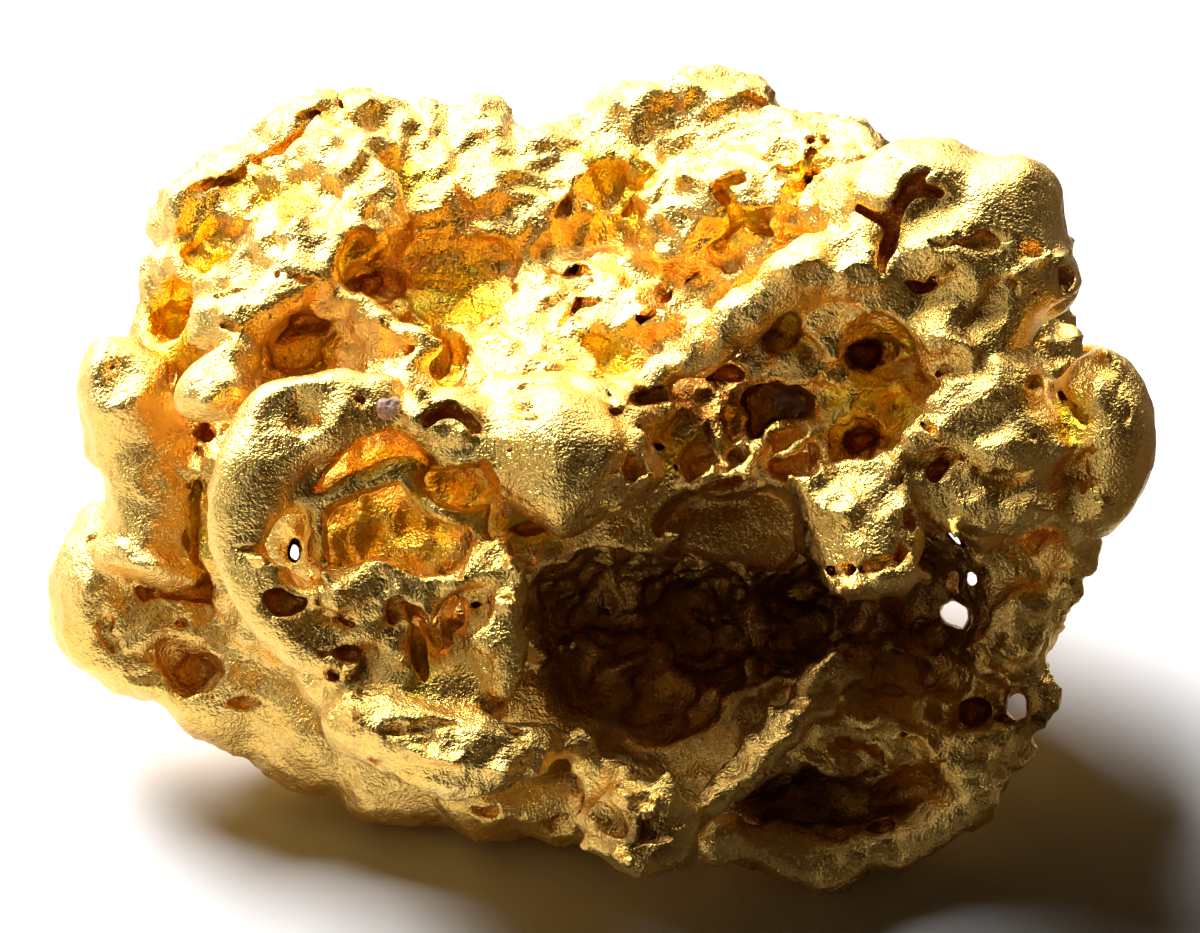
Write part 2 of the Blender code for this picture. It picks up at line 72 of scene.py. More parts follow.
def add_lumps(mesh, place, lumps):
    """Swellings or hollows, each a name, a centre, half sizes and a roll if it has one."""
    for _, centre, sizes, *roll in lumps:
        add_ball(mesh, place, centre, sizes, *roll)


def bend_through(beads):
    """Evenly spaced beads along a smooth line through the given ones."""
    beads = [Vector(bead) for bead in beads]
    line = [beads[0] * 2.0 - beads[1], *beads, beads[-1] * 2.0 - beads[-2]]
    bent = []
    for index in range(1, len(line) - 2):
        before, start, end, after = line[index - 1:index + 3]
        bend = (end - start) * 3.0 + before - after
        ease = before * 2.0 - start * 5.0 + end * 4.0 - after
        gap = BEAD_GAP * min(start[3], end[3])
        steps = max(2, math.ceil((end - start).to_3d().length / gap))
        for step in range(steps + (index == len(line) - 3)):
            along = step / steps
            bent.append((start * 2.0 + (end - before) * along + ease * along ** 2
                         + bend * along ** 3) * 0.5)
    return bent


def pour(mesh, part):
    """Move a small mesh into a big one."""
    carrier = bpy.data.meshes.new("carrier")
    part.to_mesh(carrier)
    part.free()
    mesh.from_mesh(carrier)
    bpy.data.meshes.remove(carrier)


def add_rope(mesh, place, beads, deep=1.0):
    """A rope of overlapping balls, each longer out of the face where deep is over 1."""
    rope = bmesh.new()
    for bead in bend_through(beads):
        add_ball(rope, place, bead.to_3d(), (bead[3], bead[3], bead[3] * deep), fineness=2)
    pour(mesh, rope)


def add_ropes(mesh, place, ropes):
    """Ropes, each a name and its beads; a bead is across, up, out and a radius."""
    for _, beads in ropes:
        add_rope(mesh, place, beads)


add_lumps(gold, GROUND, [
    ("core", (0.0, 5.5, -4.35), (7.8, 5.6, 3.6)),
    ("trunk_right", (5.2, 5.3, -3.65), (4.4, 4.6, 3.2)),
    ("trunk_left", (-5.2, 5.15, -4.6), (3.9, 4.6, 3.0)),
    ("back_hump_left", (-4.2, 9.2, -4.4), (2.6, 2.0, 2.3), 12),
    ("back_hump_middle", (0.2, 10.2, -4.0), (2.8, 1.9, 2.5), -6),
    ("back_hump_right", (4.6, 9.0, -4.2), (2.5, 2.0, 2.2), -15),
    ("back_knob", (2.5, 10.9, -2.3), (1.2, 1.0, 1.1)),
    ("back_lug", (-2.4, 10.6, -5.6), (1.3, 1.0, 1.0)),
    ("belly", (0.4, 4.2, -7.0), (5.6, 3.0, 2.1)),
    ("heel_left", (-3.4, 7.0, -7.4), (3.0, 2.3, 2.7), 20),
    ("heel_middle", (-0.2, 6.0, -7.6), (2.6, 2.2, 2.0)),
    ("heel_right", (3.2, 6.7, -7.4), (2.8, 2.5, 2.7), -10),
    ("side_left", (-8.2, 6.3, -4.6), (1.7, 2.0, 1.8)),
    ("side_right", (8.3, 6.4, -3.8), (1.7, 2.2, 2.0)),
    ("side_right_low", (7.0, 5.4, -6.4), (1.6, 1.8, 1.4)),
])
add_lumps(hollows, GROUND, [
    ("back_pocket", (-1.9, 11.4, -3.6), (0.9, 1.6, 0.8)),
    ("back_slot", (3.4, 11.2, -4.6), (1.3, 1.3, 0.5), 20),
    ("side_pocket", (10.4, 5.8, -3.6), (1.3, 1.0, 0.7)),
    ("left_pocket", (-10.2, 6.6, -4.8), (1.2, 0.8, 0.7)),
])


# ---- The plateau and its skyline ---------------------------------------------------------
# The top of the nugget is a wide hammered plateau, the brightest and most open part.
# A rounded ridge closes it towards the right and a row of knuckles stands along its back.
add_lumps(gold, SHOW_FACE, [
    ("back_left_knuckle", (-5.1, 6.6, -8.4), (1.25, 0.85, 1.5)),
    ("back_saddle_left", (-3.6, 6.3, -8.8), (1.0, 0.95, 1.4)),
    ("back_saddle_right", (-2.4, 6.35, -8.6), (1.0, 0.95, 1.4)),
    ("back_middle", (-0.8, 5.9, -8.6), (1.2, 1.05, 1.6)),
    ("back_top_left", (0.6, 6.4, -8.8), (1.1, 1.1, 1.6)),
    ("back_top", (2.1, 6.7, -8.8), (1.5, 1.05, 1.7), 5),
    ("back_right", (3.6, 6.0, -7.8), (1.4, 1.05, 1.6), -8),
    ("back_right_end", (4.8, 5.7, -6.6), (1.3, 1.0, 1.6), -8),
    ("basin_rise", (3.2, 4.6, -6.6), (2.8, 1.8, 2.0), 10),
    ("basin_back", (0.9, 5.5, -8.2), (1.6, 1.2, 1.4)),
    ("basin_left", (-1.8, 4.9, -8.0), (2.4, 1.4, 1.8)),
    ("basin_far_left", (-3.5, 4.6, -8.2), (1.7, 1.9, 1.9)),
])
add_ropes(gold, SHOW_FACE, [
    ("ridge", [(1.1, 1.45, -2.7, 0.4), (2.0, 2.1, -2.5, 0.5), (2.9, 2.9, -2.3, 0.6),
        (3.9, 3.6, -2.2, 0.75), (4.8, 3.8, -2.1, 0.8), (5.8, 3.5, -2.1, 0.7), (6.6, 3.1, -2.1, 0.6)]),
])
add_lumps(hollows, SHOW_FACE, [
    ("basin_hollow", (-3.0, 3.4, -4.8), (1.1, 0.8, 1.2)),
    ("basin_dip", (0.8, 2.3, -4.0), (1.2, 0.7, 0.8)),
])
pits += [
    ((-0.04, 1.96), (0.68, 0.32, 0.25), -8), ((3.24, 6.88), (0.52, 0.14, 0.5), -12),
]
grooves += [
    ("long_groove", [(0.92, 5.68, 0.12), (0.8, 5.22, -0.05, 0.16), (0.56, 4.8, 0.12),
        (0.28, 4.42, 0.09)]),
    ("bent_groove", [(2.84, 5.36, 0.11), (2.56, 5.02, -0.05, 0.15), (2.66, 4.56, -0.05, 0.15),
        (2.48, 4.16, 0.12), (2.12, 3.64, 0.09)]),
    ("edge_groove", [(2.0, 3.48, 0.1), (1.44, 3.08, -0.05, 0.12), (1.0, 2.64, -0.05, 0.12),
        (0.56, 2.4, -0.05, 0.16)]),
    ("slit_high", [(4.56, 6.12, -0.1, 0.12), (4.24, 5.92, -0.2, 0.16), (4.06, 5.6, -0.1, 0.12)]),
    ("slit_low", [(4.52, 5.52, -0.1, 0.1), (4.2, 5.32, -0.15, 0.14), (3.96, 5.06, -0.05, 0.12)]),
    ("wave_low", [(-0.8, 2.42, 0.12), (-0.4, 2.76, -0.05, 0.14), (0.08, 2.96, 0.1)]),
    ("wave_mid", [(-1.04, 3.32, 0.12), (-0.5, 3.48, -0.05, 0.12), (0.0, 3.4, 0.1)]),
    ("wave_high", [(-0.88, 4.62, 0.1), (-0.7, 4.88, -0.05, 0.14), (-0.56, 5.22, 0.1)]),
    ("wave_right", [(3.4, 4.22, 0.1), (3.24, 4.56, -0.1, 0.15), (3.5, 4.88, 0.1)]),
    ("wave_right_high", [(3.52, 5.32, 0.1), (3.68, 5.52, -0.1, 0.14), (3.6, 5.68, 0.1)]),
]
knobs += [
    ((1.2, 4.62, -0.15), (0.4, 0.32, 0.4), 20), ((1.8, 5.32, -0.15), (0.36, 0.28, 0.4), -20),
    ((0.0, 3.62, -0.1), (0.32, 0.28, 0.35)), ((1.5, 3.82, -0.1), (0.32, 0.2, 0.35), 30),
    ((3.2, 5.52, -0.1), (0.32, 0.24, 0.35)), ((0.8, 3.32, -0.1), (0.28, 0.2, 0.3), 25),
    ((-1.1, 3.96, -0.1), (0.26, 0.18, 0.3), 25), ((-0.24, 4.76, -0.1), (0.28, 0.2, 0.3), 50),
]
flats += [
    ((2.7, 3.52), 0.6, 0.12), ((2.0, 2.72), 0.48, 0.1), ((1.3, 2.08), 0.44, 0.08),
    ((3.3, 3.88), 0.44, 0.1), ((1.8, 6.32), 0.68, 0.1), ((3.6, 6.12), 0.52, 0.1),
    ((0.4, 5.02), 0.48, 0.1), ((-0.8, 5.52), 0.56, 0.1),
]


# ---- The arm and the strap ---------------------------------------------------------------
# A knotted arm of gold climbs the upper left, with a strap arching from it to the nose.
# Between them lie open pockets with thin, bright walls.
add_lumps(gold, SHOW_FACE, [
    ("left_brow_low", (-8.35, 4.9, -7.4), (0.75, 1.0, 1.4), -15),
    ("left_brow", (-7.5, 5.6, -7.8), (1.0, 0.7, 1.3), 35),
    ("left_brow_top", (-6.3, 6.4, -8.2), (1.1, 0.7, 1.3), 45),
    ("left_cheek", (-8.5, 3.3, -7.0), (0.75, 1.3, 1.4)),
    ("left_bed", (-6.8, 4.0, -7.9), (2.2, 2.2, 2.0)),
    ("left_bed_low", (-8.2, 2.2, -7.0), (1.3, 1.4, 1.6)),
    ("arm_back", (-5.6, 5.8, -6.8), (1.5, 0.9, 1.3), 25),
])
add_ropes(gold, SHOW_FACE, [
    ("arm", [(-7.9, 2.75, -3.7, 0.7), (-7.1, 3.0, -3.4, 0.75), (-6.3, 3.5, -3.5, 0.7),
        (-5.6, 4.1, -3.9, 0.7), (-4.9, 4.6, -4.5, 0.65), (-4.6, 5.2, -5.2, 0.6),
        (-4.9, 5.8, -6.0, 0.6)]),
    ("arm_root", [(-7.4, 3.0, -5.0, 1.0), (-6.2, 3.9, -5.2, 1.1), (-5.2, 4.7, -6.0, 1.1)]),
    ("strap", [(-5.6, 3.1, -3.6, 0.4), (-4.9, 2.9, -3.4, 0.4), (-4.2, 2.4, -3.1, 0.4),
        (-3.7, 1.95, -2.8, 0.38), (-3.5, 1.5, -2.5, 0.38), (-3.9, 1.1, -2.2, 0.45)]),
    ("strap_foot", [(-5.0, 2.2, -4.2, 0.7), (-4.3, 1.5, -3.2, 0.6), (-4.1, 1.0, -2.4, 0.55)]),
])
add_lumps(hollows, SHOW_FACE, [
    ("behind_nose", (-3.1, 2.0, -3.2), (0.4, 0.8, 1.5)),
    ("under_strap", (-6.3, 2.1, -3.2), (0.75, 0.55, 1.3)),
    ("left_hollow", (-8.9, 2.9, -5.6), (0.8, 0.6, 1.1)),
])
pockets += [
    ("orange_bay", 1.0, 0.8, [(-6.88, 2.42), (-6.6, 2.68), (-6.2, 2.76), (-5.76, 2.72),
        (-5.56, 2.42), (-5.64, 2.08), (-5.64, 1.72), (-5.88, 1.48), (-6.24, 1.4), (-6.6, 1.52),
        (-6.84, 1.88)]),
    ("red_pocket", 0.9, 0.8, [(-5.32, 3.92), (-5.12, 4.28), (-4.88, 4.44), (-4.56, 4.32),
        (-4.44, 3.96), (-4.48, 3.52), (-4.72, 3.2), (-5.0, 3.0), (-5.24, 3.2), (-5.36, 3.56)]),
    ("dark_hole", 1.6, 0.9, [(-3.52, 2.2), (-3.28, 2.28), (-3.0, 2.12), (-2.96, 1.76), (-3.04, 1.4),
        (-3.28, 1.24), (-3.48, 1.4), (-3.58, 1.8)]),
    ("basin", 0.25, 0.4, [(-3.96, 4.08), (-3.6, 4.32), (-3.08, 4.28), (-2.6, 4.16), (-2.12, 3.92),
        (-1.76, 3.52), (-1.68, 3.08), (-2.0, 2.72), (-2.4, 2.44), (-2.88, 2.28), (-3.32, 2.32),
        (-3.72, 2.6), (-3.96, 3.08), (-4.04, 3.6)]),
]
pits += [
    ((-8.44, 2.56, 0.1), (0.68, 0.4, 0.45)), ((-8.16, 3.96, 0.05), (0.24, 0.44, 0.4), -10),
    ((-3.9, 1.88), (0.14, 0.18, 0.35)), ((-2.4, 3.12), (0.28, 0.36, 0.3)),
]
grooves += [
    ("brow_groove", [(-8.28, 5.16, 0.12), (-7.56, 5.38, 0.15), (-6.96, 5.76, 0.14),
        (-6.2, 6.12, 0.15), (-5.88, 6.62, 0.16), (-5.2, 6.88, 0.13), (-4.8, 7.24, 0.1)]),
    ("arm_crack_1", [(-7.9, 2.96, 0.06), (-7.5, 3.08, 0.07), (-7.1, 3.16, 0.06)]),
    ("arm_crack_2", [(-6.64, 3.36, 0.06), (-6.4, 3.48, 0.06), (-6.08, 3.4, 0.08),
        (-5.76, 3.32, 0.08), (-5.76, 2.96, 0.07)]),
    ("slot", [(-7.72, 2.32, 0.09), (-7.52, 2.36, -0.05, 0.12), (-7.28, 2.32, 0.08)]),
    ("arm_crack_3", [(-6.68, 2.92, 0.05), (-6.72, 2.62, 0.06), (-6.84, 2.36, 0.06)]),
]
bridges += [
    ("strap_top", [(-5.64, 2.82, -3.4, 0.2), (-5.1, 2.88, -3.2, 0.26), (-4.64, 2.68, -3.0, 0.26),
        (-4.16, 2.42, -2.8, 0.24), (-3.7, 2.16, -2.6, 0.22), (-3.44, 1.92, -2.5, 0.18),
        (-3.6, 1.64, -2.5, 0.14)]),
    ("strap_low", [(-4.56, 1.42, -2.6, 0.2), (-4.2, 1.52, -2.5, 0.22), (-3.9, 1.56, -2.5, 0.18),
        (-3.64, 1.48, -2.4, 0.14)]),
]
knobs += [
    ((-7.3, 2.62), (0.52, 0.36, 0.4), 20), ((-5.4, 3.96), (0.32, 0.32, 0.3)),
    ((-5.1, 5.52), (0.4, 0.48, 0.4)), ((-6.2, 4.32), (0.44, 0.24, 0.3), 35),
    ((-4.8, 4.82), (0.28, 0.36, 0.3)), ((-8.56, 4.72), (0.28, 0.44, 0.4)),
    ((-7.36, 4.68), (0.32, 0.24, 0.3)), ((-7.7, 3.82), (0.32, 0.28, 0.3)),
]
flats += [
    ((-7.3, 2.52), 0.32, 0.05), ((-7.0, 3.32), 0.36, 0.05), ((-4.1, 6.42), 0.6, 0.12),
    ((-2.4, 6.32), 0.56, 0.12), ((-3.4, 5.32), 0.52, 0.1),
]


# ---- The left side and the keel ----------------------------------------------------------
# Low swollen lobes down the left side, and a keel under them that carries the ring.
# They are the same solid gold, rolled round and smooth in gravel, with a few pinholes.
add_lumps(gold, SHOW_FACE, [
    ("knuckle", (-7.75, 1.25, -2.4), (0.85, 0.9, 0.95), 25),
    ("knuckle_top", (-7.4, 2.05, -2.9), (0.55, 0.45, 0.7)),
    ("left_lobe", (-9.7, 1.2, -5.2), (1.1, 1.2, 1.5)),
    ("left_lobe_low", (-9.4, 0.3, -5.6), (1.1, 0.8, 1.4)),
    ("column", (-9.0, -0.8, -5.5), (1.1, 1.9, 1.4)),
    ("column_foot", (-9.1, -2.2, -5.3), (1.2, 0.5, 1.2), -12),
    ("low_left", (-10.1, -2.7, -6.6), (1.0, 1.8, 1.6)),
    ("low_left_under", (-9.2, -3.6, -6.6), (1.5, 1.4, 1.5), -35),
    ("low_left_root", (-8.4, -2.4, -6.4), (1.4, 1.6, 1.4)),
    ("keel_left", (-7.4, -4.5, -6.4), (1.7, 1.5, 1.7), -35),
    ("keel_mid_left", (-5.8, -5.4, -6.1), (1.7, 1.4, 1.7), -20),
    ("keel_mid", (-4.0, -6.1, -5.8), (1.8, 1.3, 1.6), -20),
    ("keel_mid_right", (-2.2, -6.7, -5.4), (1.7, 1.15, 1.6), -12),
    ("keel_right", (-0.7, -7.0, -5.0), (1.4, 0.9, 1.3), -5),
])
add_lumps(hollows, SHOW_FACE, [
    ("low_left_hollow", (-8.3, -4.2, -5.0), (0.9, 0.5, 0.9), -25),
])
add_ropes(cuts, SHOW_FACE, [
    ("column_gap", [(-7.85, -0.4, -3.9, 0.24), (-8.0, -1.2, -4.1, 0.26), (-8.0, -2.0, -4.2, 0.2)]),
])
pits += [
    ((-10.0, -3.58), (0.24, 0.18, 0.3), 20), ((-7.2, -5.18), (0.36, 0.18, 0.3)),
    ((-4.5, -6.44), (0.26, 0.16, 0.3), -25), ((-10.3, -1.92), (0.18, 0.26, 0.3), -30),
    ((-9.2, -4.48), (0.52, 0.4, 0.2)), ((-8.2, -4.52), (0.44, 0.32, 0.35), -15),
    ((-9.8, 1.62), (0.2, 0.1, 0.15), 40), ((-7.9, 0.28, -0.2), (0.22, 0.26, 0.8), 20),
    ((-8.64, 1.48), (0.28, 0.4, 0.5)), ((-8.4, -3.58), (0.2, 0.1, 0.2), -25),
    ((-0.8, -7.68), (0.28, 0.2, 0.3), 30), ((-2.4, -7.38), (0.4, 0.16, 0.3), 10),
]
grooves += [
    ("column_crack", [(-8.16, -0.18, -0.2, 0.16), (-8.2, -1.08, -0.3, 0.2),
        (-8.24, -1.88, -0.3, 0.2), (-8.2, -2.52, -0.2, 0.16)]),
    ("shade_under_shelf", [(-9.6, -2.68, 0.1), (-9.0, -2.92, -0.05, 0.14), (-8.2, -2.92, -0.1, 0.2),
        (-7.7, -2.68, -0.1, 0.16)]),
    ("dent_line", [(-10.16, -3.78, 0.09), (-9.8, -4.04, 0.1), (-9.64, -4.36, 0.08)]),
]
knobs += [
    ((-9.6, -2.08, 0.05), (0.32, 0.14, 0.3), -25), ((-9.04, -2.36, 0.08), (0.36, 0.16, 0.35)),
    ((-8.5, -2.4, 0.05), (0.32, 0.12, 0.3), -10), ((-7.56, 1.82), (0.32, 0.24, 0.3), 20),
    ((-7.9, 0.92), (0.32, 0.24, 0.3), 30),
]
flats += [
    ((-7.64, 1.62), 0.32, 0.08), ((-9.2, -2.28), 0.28, 0.04), ((-9.5, 1.22), 0.52, 0.1),
    ((-10.4, -0.88), 0.32, 0.06),
]


# ---- The ring ----------------------------------------------------------------------------
# A thick ring of rubbed, matt gold round a bowl, with a ledge, a post and a pitted chin.
# It stands furthest forward and has taken the most wear.
add_lumps(gold, SHOW_FACE, [
    ("behind_ring", (-5.6, -2.6, -5.6), (2.4, 2.4, 1.8)),
    ("ring_back", (-4.9, -1.2, -4.2), (2.3, 2.2, 1.3)),
    ("chin_root", (-4.2, -4.4, -3.6), (2.2, 1.4, 2.2), -20),
])
add_ropes(gold, SHOW_FACE, [
    ("ring", [(-4.1, 0.75, -1.2, 0.5), (-4.8, 0.95, -0.95, 0.7), (-5.7, 0.85, -0.85, 0.88),
        (-6.55, 0.45, -0.9, 0.95), (-6.95, -0.3, -0.9, 0.9), (-7.1, -1.2, -0.9, 0.85),
        (-7.0, -2.2, -0.8, 0.72), (-6.7, -3.0, -0.8, 0.6), (-6.1, -3.7, -0.9, 0.5),
        (-5.5, -4.2, -0.9, 0.45)]),
])
add_lumps(front, SHOW_FACE, [
    ("inner_skin", (-4.5, -1.1, -1.25), (2.2, 1.5, 0.75)),
    ("post_low", (-2.1, -3.9, -1.2), (0.7, 1.0, 0.9), 8),
    ("post_high", (-1.95, -2.9, -1.1), (0.55, 0.75, 0.8), 20),
    ("post_head", (-2.6, -2.6, -1.2), (0.55, 0.5, 0.7)),
    ("ledge_face", (-4.9, -3.25, -1.2), (1.2, 0.6, 0.7), -15),
    ("ledge_face_right", (-3.9, -3.1, -1.0), (0.7, 0.5, 0.6), -5),
    ("chin_body", (-3.5, -4.6, -1.6), (1.6, 0.8, 1.0), -25),
])
add_ropes(front, SHOW_FACE, [
    ("chin", [(-5.1, -4.9, -1.1, 0.55), (-4.6, -5.4, -0.9, 0.8), (-3.6, -5.75, -0.8, 0.9),
        (-2.5, -5.95, -0.8, 0.85), (-1.5, -5.85, -1.0, 0.65), (-0.9, -5.6, -1.3, 0.4)]),
    ("chin_link", [(-1.0, -5.6, -1.3, 0.4), (-0.3, -6.1, -1.9, 0.35), (0.3, -6.5, -2.4, 0.45)]),
    ("ledge", [(-6.9, -2.5, -0.7, 0.25), (-6.0, -2.65, -0.6, 0.25), (-5.2, -2.6, -0.5, 0.3),
        (-4.4, -2.5, -0.55, 0.35), (-3.6, -2.75, -0.6, 0.35), (-2.7, -2.4, -0.8, 0.4),
        (-2.0, -2.0, -1.1, 0.4)]),
])
pockets += [
    ("crescent", 1.3, 0.8, [(-5.84, -1.0), (-5.72, -0.68), (-5.52, -0.44), (-5.24, -0.16),
        (-4.92, 0.1), (-4.56, 0.28), (-4.24, 0.36), (-3.96, 0.28), (-3.72, 0.08), (-3.52, -0.12),
        (-3.28, -0.28), (-3.4, -0.44), (-3.64, -0.36), (-3.92, -0.26), (-4.24, -0.28),
        (-4.6, -0.38), (-4.96, -0.54), (-5.24, -0.74), (-5.56, -0.94)]),
    ("right_pocket", 1.3, 0.75, [(-3.76, -0.48), (-3.4, -0.42), (-2.96, -0.42), (-2.6, -0.34),
        (-2.32, -0.28), (-2.16, -0.48), (-2.1, -0.78), (-2.12, -1.08), (-2.32, -1.28),
        (-2.68, -1.36), (-3.04, -1.34), (-3.36, -1.2), (-3.64, -0.96), (-3.78, -0.72)]),
    ("bowl", 1.7, 0.8, [(-5.64, -1.28), (-5.4, -1.1), (-5.08, -0.98), (-4.76, -0.86), (-4.4, -0.72),
        (-4.04, -0.66), (-3.88, -0.92), (-3.64, -1.2), (-3.36, -1.44), (-2.96, -1.56),
        (-2.6, -1.64), (-2.52, -1.88), (-2.68, -2.24), (-2.88, -2.52), (-3.2, -2.64), (-3.6, -2.68),
        (-3.92, -2.64), (-4.16, -2.44), (-4.48, -2.3), (-4.84, -2.44), (-5.2, -2.48),
        (-5.52, -2.48), (-5.62, -1.88)]),
    ("left_bay", 1.3, 0.8, [(-6.88, -2.04), (-6.76, -1.72), (-6.6, -1.48), (-6.36, -1.28),
        (-6.08, -1.2), (-5.88, -1.32), (-5.86, -1.68), (-5.92, -2.12), (-5.88, -2.48),
        (-6.08, -2.56), (-6.4, -2.52), (-6.68, -2.4)]),
    ("groove", 0.9, 0.7, [(-3.96, -3.16), (-3.64, -3.2), (-3.46, -3.48), (-3.52, -3.88),
        (-3.5, -4.28), (-3.4, -4.72), (-3.58, -4.96), (-3.76, -4.6), (-3.82, -4.12), (-3.86, -3.68)]),
    ("amber_notch", 0.5, 0.7, [(-4.28, -3.0), (-3.96, -3.0), (-3.76, -3.24), (-3.84, -3.56),
        (-4.04, -3.48), (-4.24, -3.28)]),
    ("side_pit", 0.7, 0.7, [(-6.88, -2.92), (-6.56, -2.86), (-6.2, -2.94), (-5.9, -3.08),
        (-5.96, -3.32), (-6.28, -3.52), (-6.56, -3.5), (-6.8, -3.28)]),
    ("red_nook", 0.5, 0.7, [(-5.44, -4.12), (-4.96, -4.02), (-4.78, -4.2), (-4.96, -4.4),
        (-5.32, -4.36)]),
    ("red_nook_low", 0.4, 0.7, [(-5.56, -4.52), (-5.28, -4.56), (-5.2, -4.8), (-5.48, -4.84)]),
    ("triangle", 0.3, 0.6, [(-6.12, 1.06), (-5.92, 0.84), (-5.66, 0.52), (-5.58, 0.34),
        (-5.92, 0.24), (-6.3, 0.26), (-6.42, 0.44), (-6.36, 0.74)]),
    ("window", 14.0, 1.0, [(-6.3, -1.96), (-6.16, -1.88), (-6.04, -2.02), (-6.02, -2.26),
        (-6.14, -2.42), (-6.26, -2.36), (-6.34, -2.18)]),
]
pits += [
    ((-4.56, -1.08), (0.28, 0.1, 0.25), -10), ((-4.68, -1.28), (0.24, 0.08, 0.2)),
    ((-4.74, -5.36), (0.1, 0.06, 0.14)), ((-4.46, -5.34), (0.1, 0.06, 0.14)),
    ((-3.98, -5.12), (0.12, 0.06, 0.16)), ((-3.02, -5.44), (0.1, 0.16, 0.2), 10),
    ((-2.9, -5.72), (0.1, 0.18, 0.2)), ((-3.5, -5.92), (0.1, 0.08, 0.16), 30),
    ((-1.62, -6.38), (0.14, 0.08, 0.18), -10), ((-2.42, -6.26), (0.14, 0.05, 0.14)),
    ((-4.1, -5.76), (0.44, 0.16, 0.2), -14), ((-3.4, -5.72), (0.36, 0.14, 0.18)),
    ((-1.6, -5.82), (0.56, 0.16, 0.2), 8), ((-2.0, -6.38), (0.1, 0.06, 0.12)),
    ((-2.8, -6.26), (0.1, 0.05, 0.12)), ((-5.1, -4.48), (0.2, 0.24, 0.16)),
]
grooves += [
    ("crack", [(-7.52, -1.88, 0.05), (-7.38, -2.08, -0.02, 0.06), (-7.12, -2.2, -0.03, 0.07),
        (-6.9, -2.1, -0.05, 0.09), (-6.76, -1.82, -0.05, 0.1), (-6.6, -1.48, -0.05, 0.1),
        (-6.4, -1.24, -0.05, 0.1)]),
    ("face_line_1", [(-4.36, -3.18, 0.07), (-4.24, -3.48, -0.05, 0.1), (-4.0, -3.68, -0.05, 0.1)]),
    ("face_line_2", [(-5.8, -3.08, 0.06), (-5.4, -3.48, 0.07), (-4.8, -3.72, 0.07)]),
    ("chin_line_1", [(-5.0, -4.68, 0.05), (-4.88, -5.0, 0.06), (-4.8, -5.2, 0.05)]),
    ("chin_line_2", [(-3.8, -6.0, 0.05), (-3.52, -6.12, 0.06), (-3.4, -6.36, 0.05)]),
    ("chin_line_3", [(-6.0, -3.88, 0.05), (-5.7, -4.12, 0.06), (-5.56, -4.36, 0.05)]),
    ("skin_fold_1", [(-5.2, 0.52, 0.05), (-4.96, 0.76, 0.06), (-4.64, 0.84, 0.05)]),
    ("skin_fold_2", [(-5.1, 0.68, 0.05), (-4.88, 0.92, 0.06), (-4.56, 1.12, 0.05)]),
    ("post_line_1", [(-3.08, -2.68, 0.06), (-2.8, -2.48, 0.07), (-2.52, -2.08, 0.06)]),
    ("post_line_2", [(-2.76, -3.48, 0.06), (-2.4, -3.24, 0.07), (-2.04, -3.18, 0.07),
        (-1.6, -3.24, 0.06)]),
    ("post_line_3", [(-2.08, -4.48, 0.06), (-1.9, -4.08, 0.07), (-1.7, -3.78, 0.06)]),
]
ridges += [
    ("ledge_edge", [(-6.96, -2.24, 0.1), (-6.56, -2.5, 0.03, 0.12), (-6.0, -2.62, 0.04, 0.12),
        (-5.4, -2.6, 0.04, 0.12), (-4.96, -2.52, 0.05, 0.14), (-4.52, -2.38, 0.06, 0.15),
        (-4.08, -2.56, 0.04, 0.13), (-3.4, -2.68, 0.04, 0.12), (-2.76, -2.68, 0.03, 0.12)]),
    ("curl", [(-3.28, -4.04, 0.06), (-3.08, -4.2, 0.04, 0.08), (-2.92, -4.04, 0.04, 0.08),
        (-2.86, -3.8, 0.06)]),
    ("facet_edge", [(-5.88, -3.48, 0.09), (-5.4, -3.72, 0.03, 0.12), (-4.76, -3.88, 0.03, 0.12),
        (-4.28, -4.12, 0.03, 0.12), (-3.92, -4.4, 0.1)]),
    ("pit_bar", [(-5.2, -4.36, 0.08), (-5.0, -4.48, 0.05, 0.1), (-4.84, -4.36, 0.08)]),
    ("chin_roll_1", [(-5.4, -5.08, 0.08), (-4.8, -5.58, 0.02, 0.1), (-4.0, -6.08, 0.02, 0.1),
        (-3.0, -6.4, 0.02, 0.1), (-2.0, -6.52, 0.02, 0.1), (-1.1, -6.32, 0.08)]),
    ("post_edge", [(-2.6, -2.18, 0.08), (-2.0, -2.12, 0.03, 0.1), (-1.68, -2.48, 0.03, 0.1),
        (-1.44, -3.08, 0.08)]),
]
knobs += [
    ((-5.3, -3.16), (0.4, 0.24, 0.3), -15), ((-4.5, -3.36), (0.32, 0.24, 0.3), -10),
    ((-4.16, -3.04), (0.28, 0.18, 0.25)), ((-2.96, -2.76), (0.32, 0.24, 0.25), 30),
    ((-2.16, -2.52), (0.36, 0.28, 0.25), 20), ((-1.88, -3.24), (0.32, 0.24, 0.25)),
    ((-2.76, -3.4), (0.32, 0.26, 0.25)), ((-2.24, -3.98), (0.4, 0.36, 0.2)),
    ((-2.0, -4.92), (0.28, 0.28, 0.2)),
]
bridges += [
    ("bowl_web", [(-2.6, -0.68, -1.2, 0.1), (-2.36, -0.92, -1.1, 0.1), (-2.44, -1.28, -1.1, 0.1),
        (-2.6, -1.64, -1.2, 0.12)]),
]
flats += [
    ((-6.04, 0.28), 0.68, 0.22), ((-6.56, 0.52), 0.36, 0.1), ((-5.4, 0.72), 0.44, 0.08),
    ((-2.16, -2.4), 0.28, 0.05), ((-2.88, -2.64), 0.24, 0.05), ((-3.08, -3.2), 0.22, 0.05),
    ((-2.44, -3.48), 0.24, 0.05), ((-4.56, -0.44), 0.28, 0.04),
]


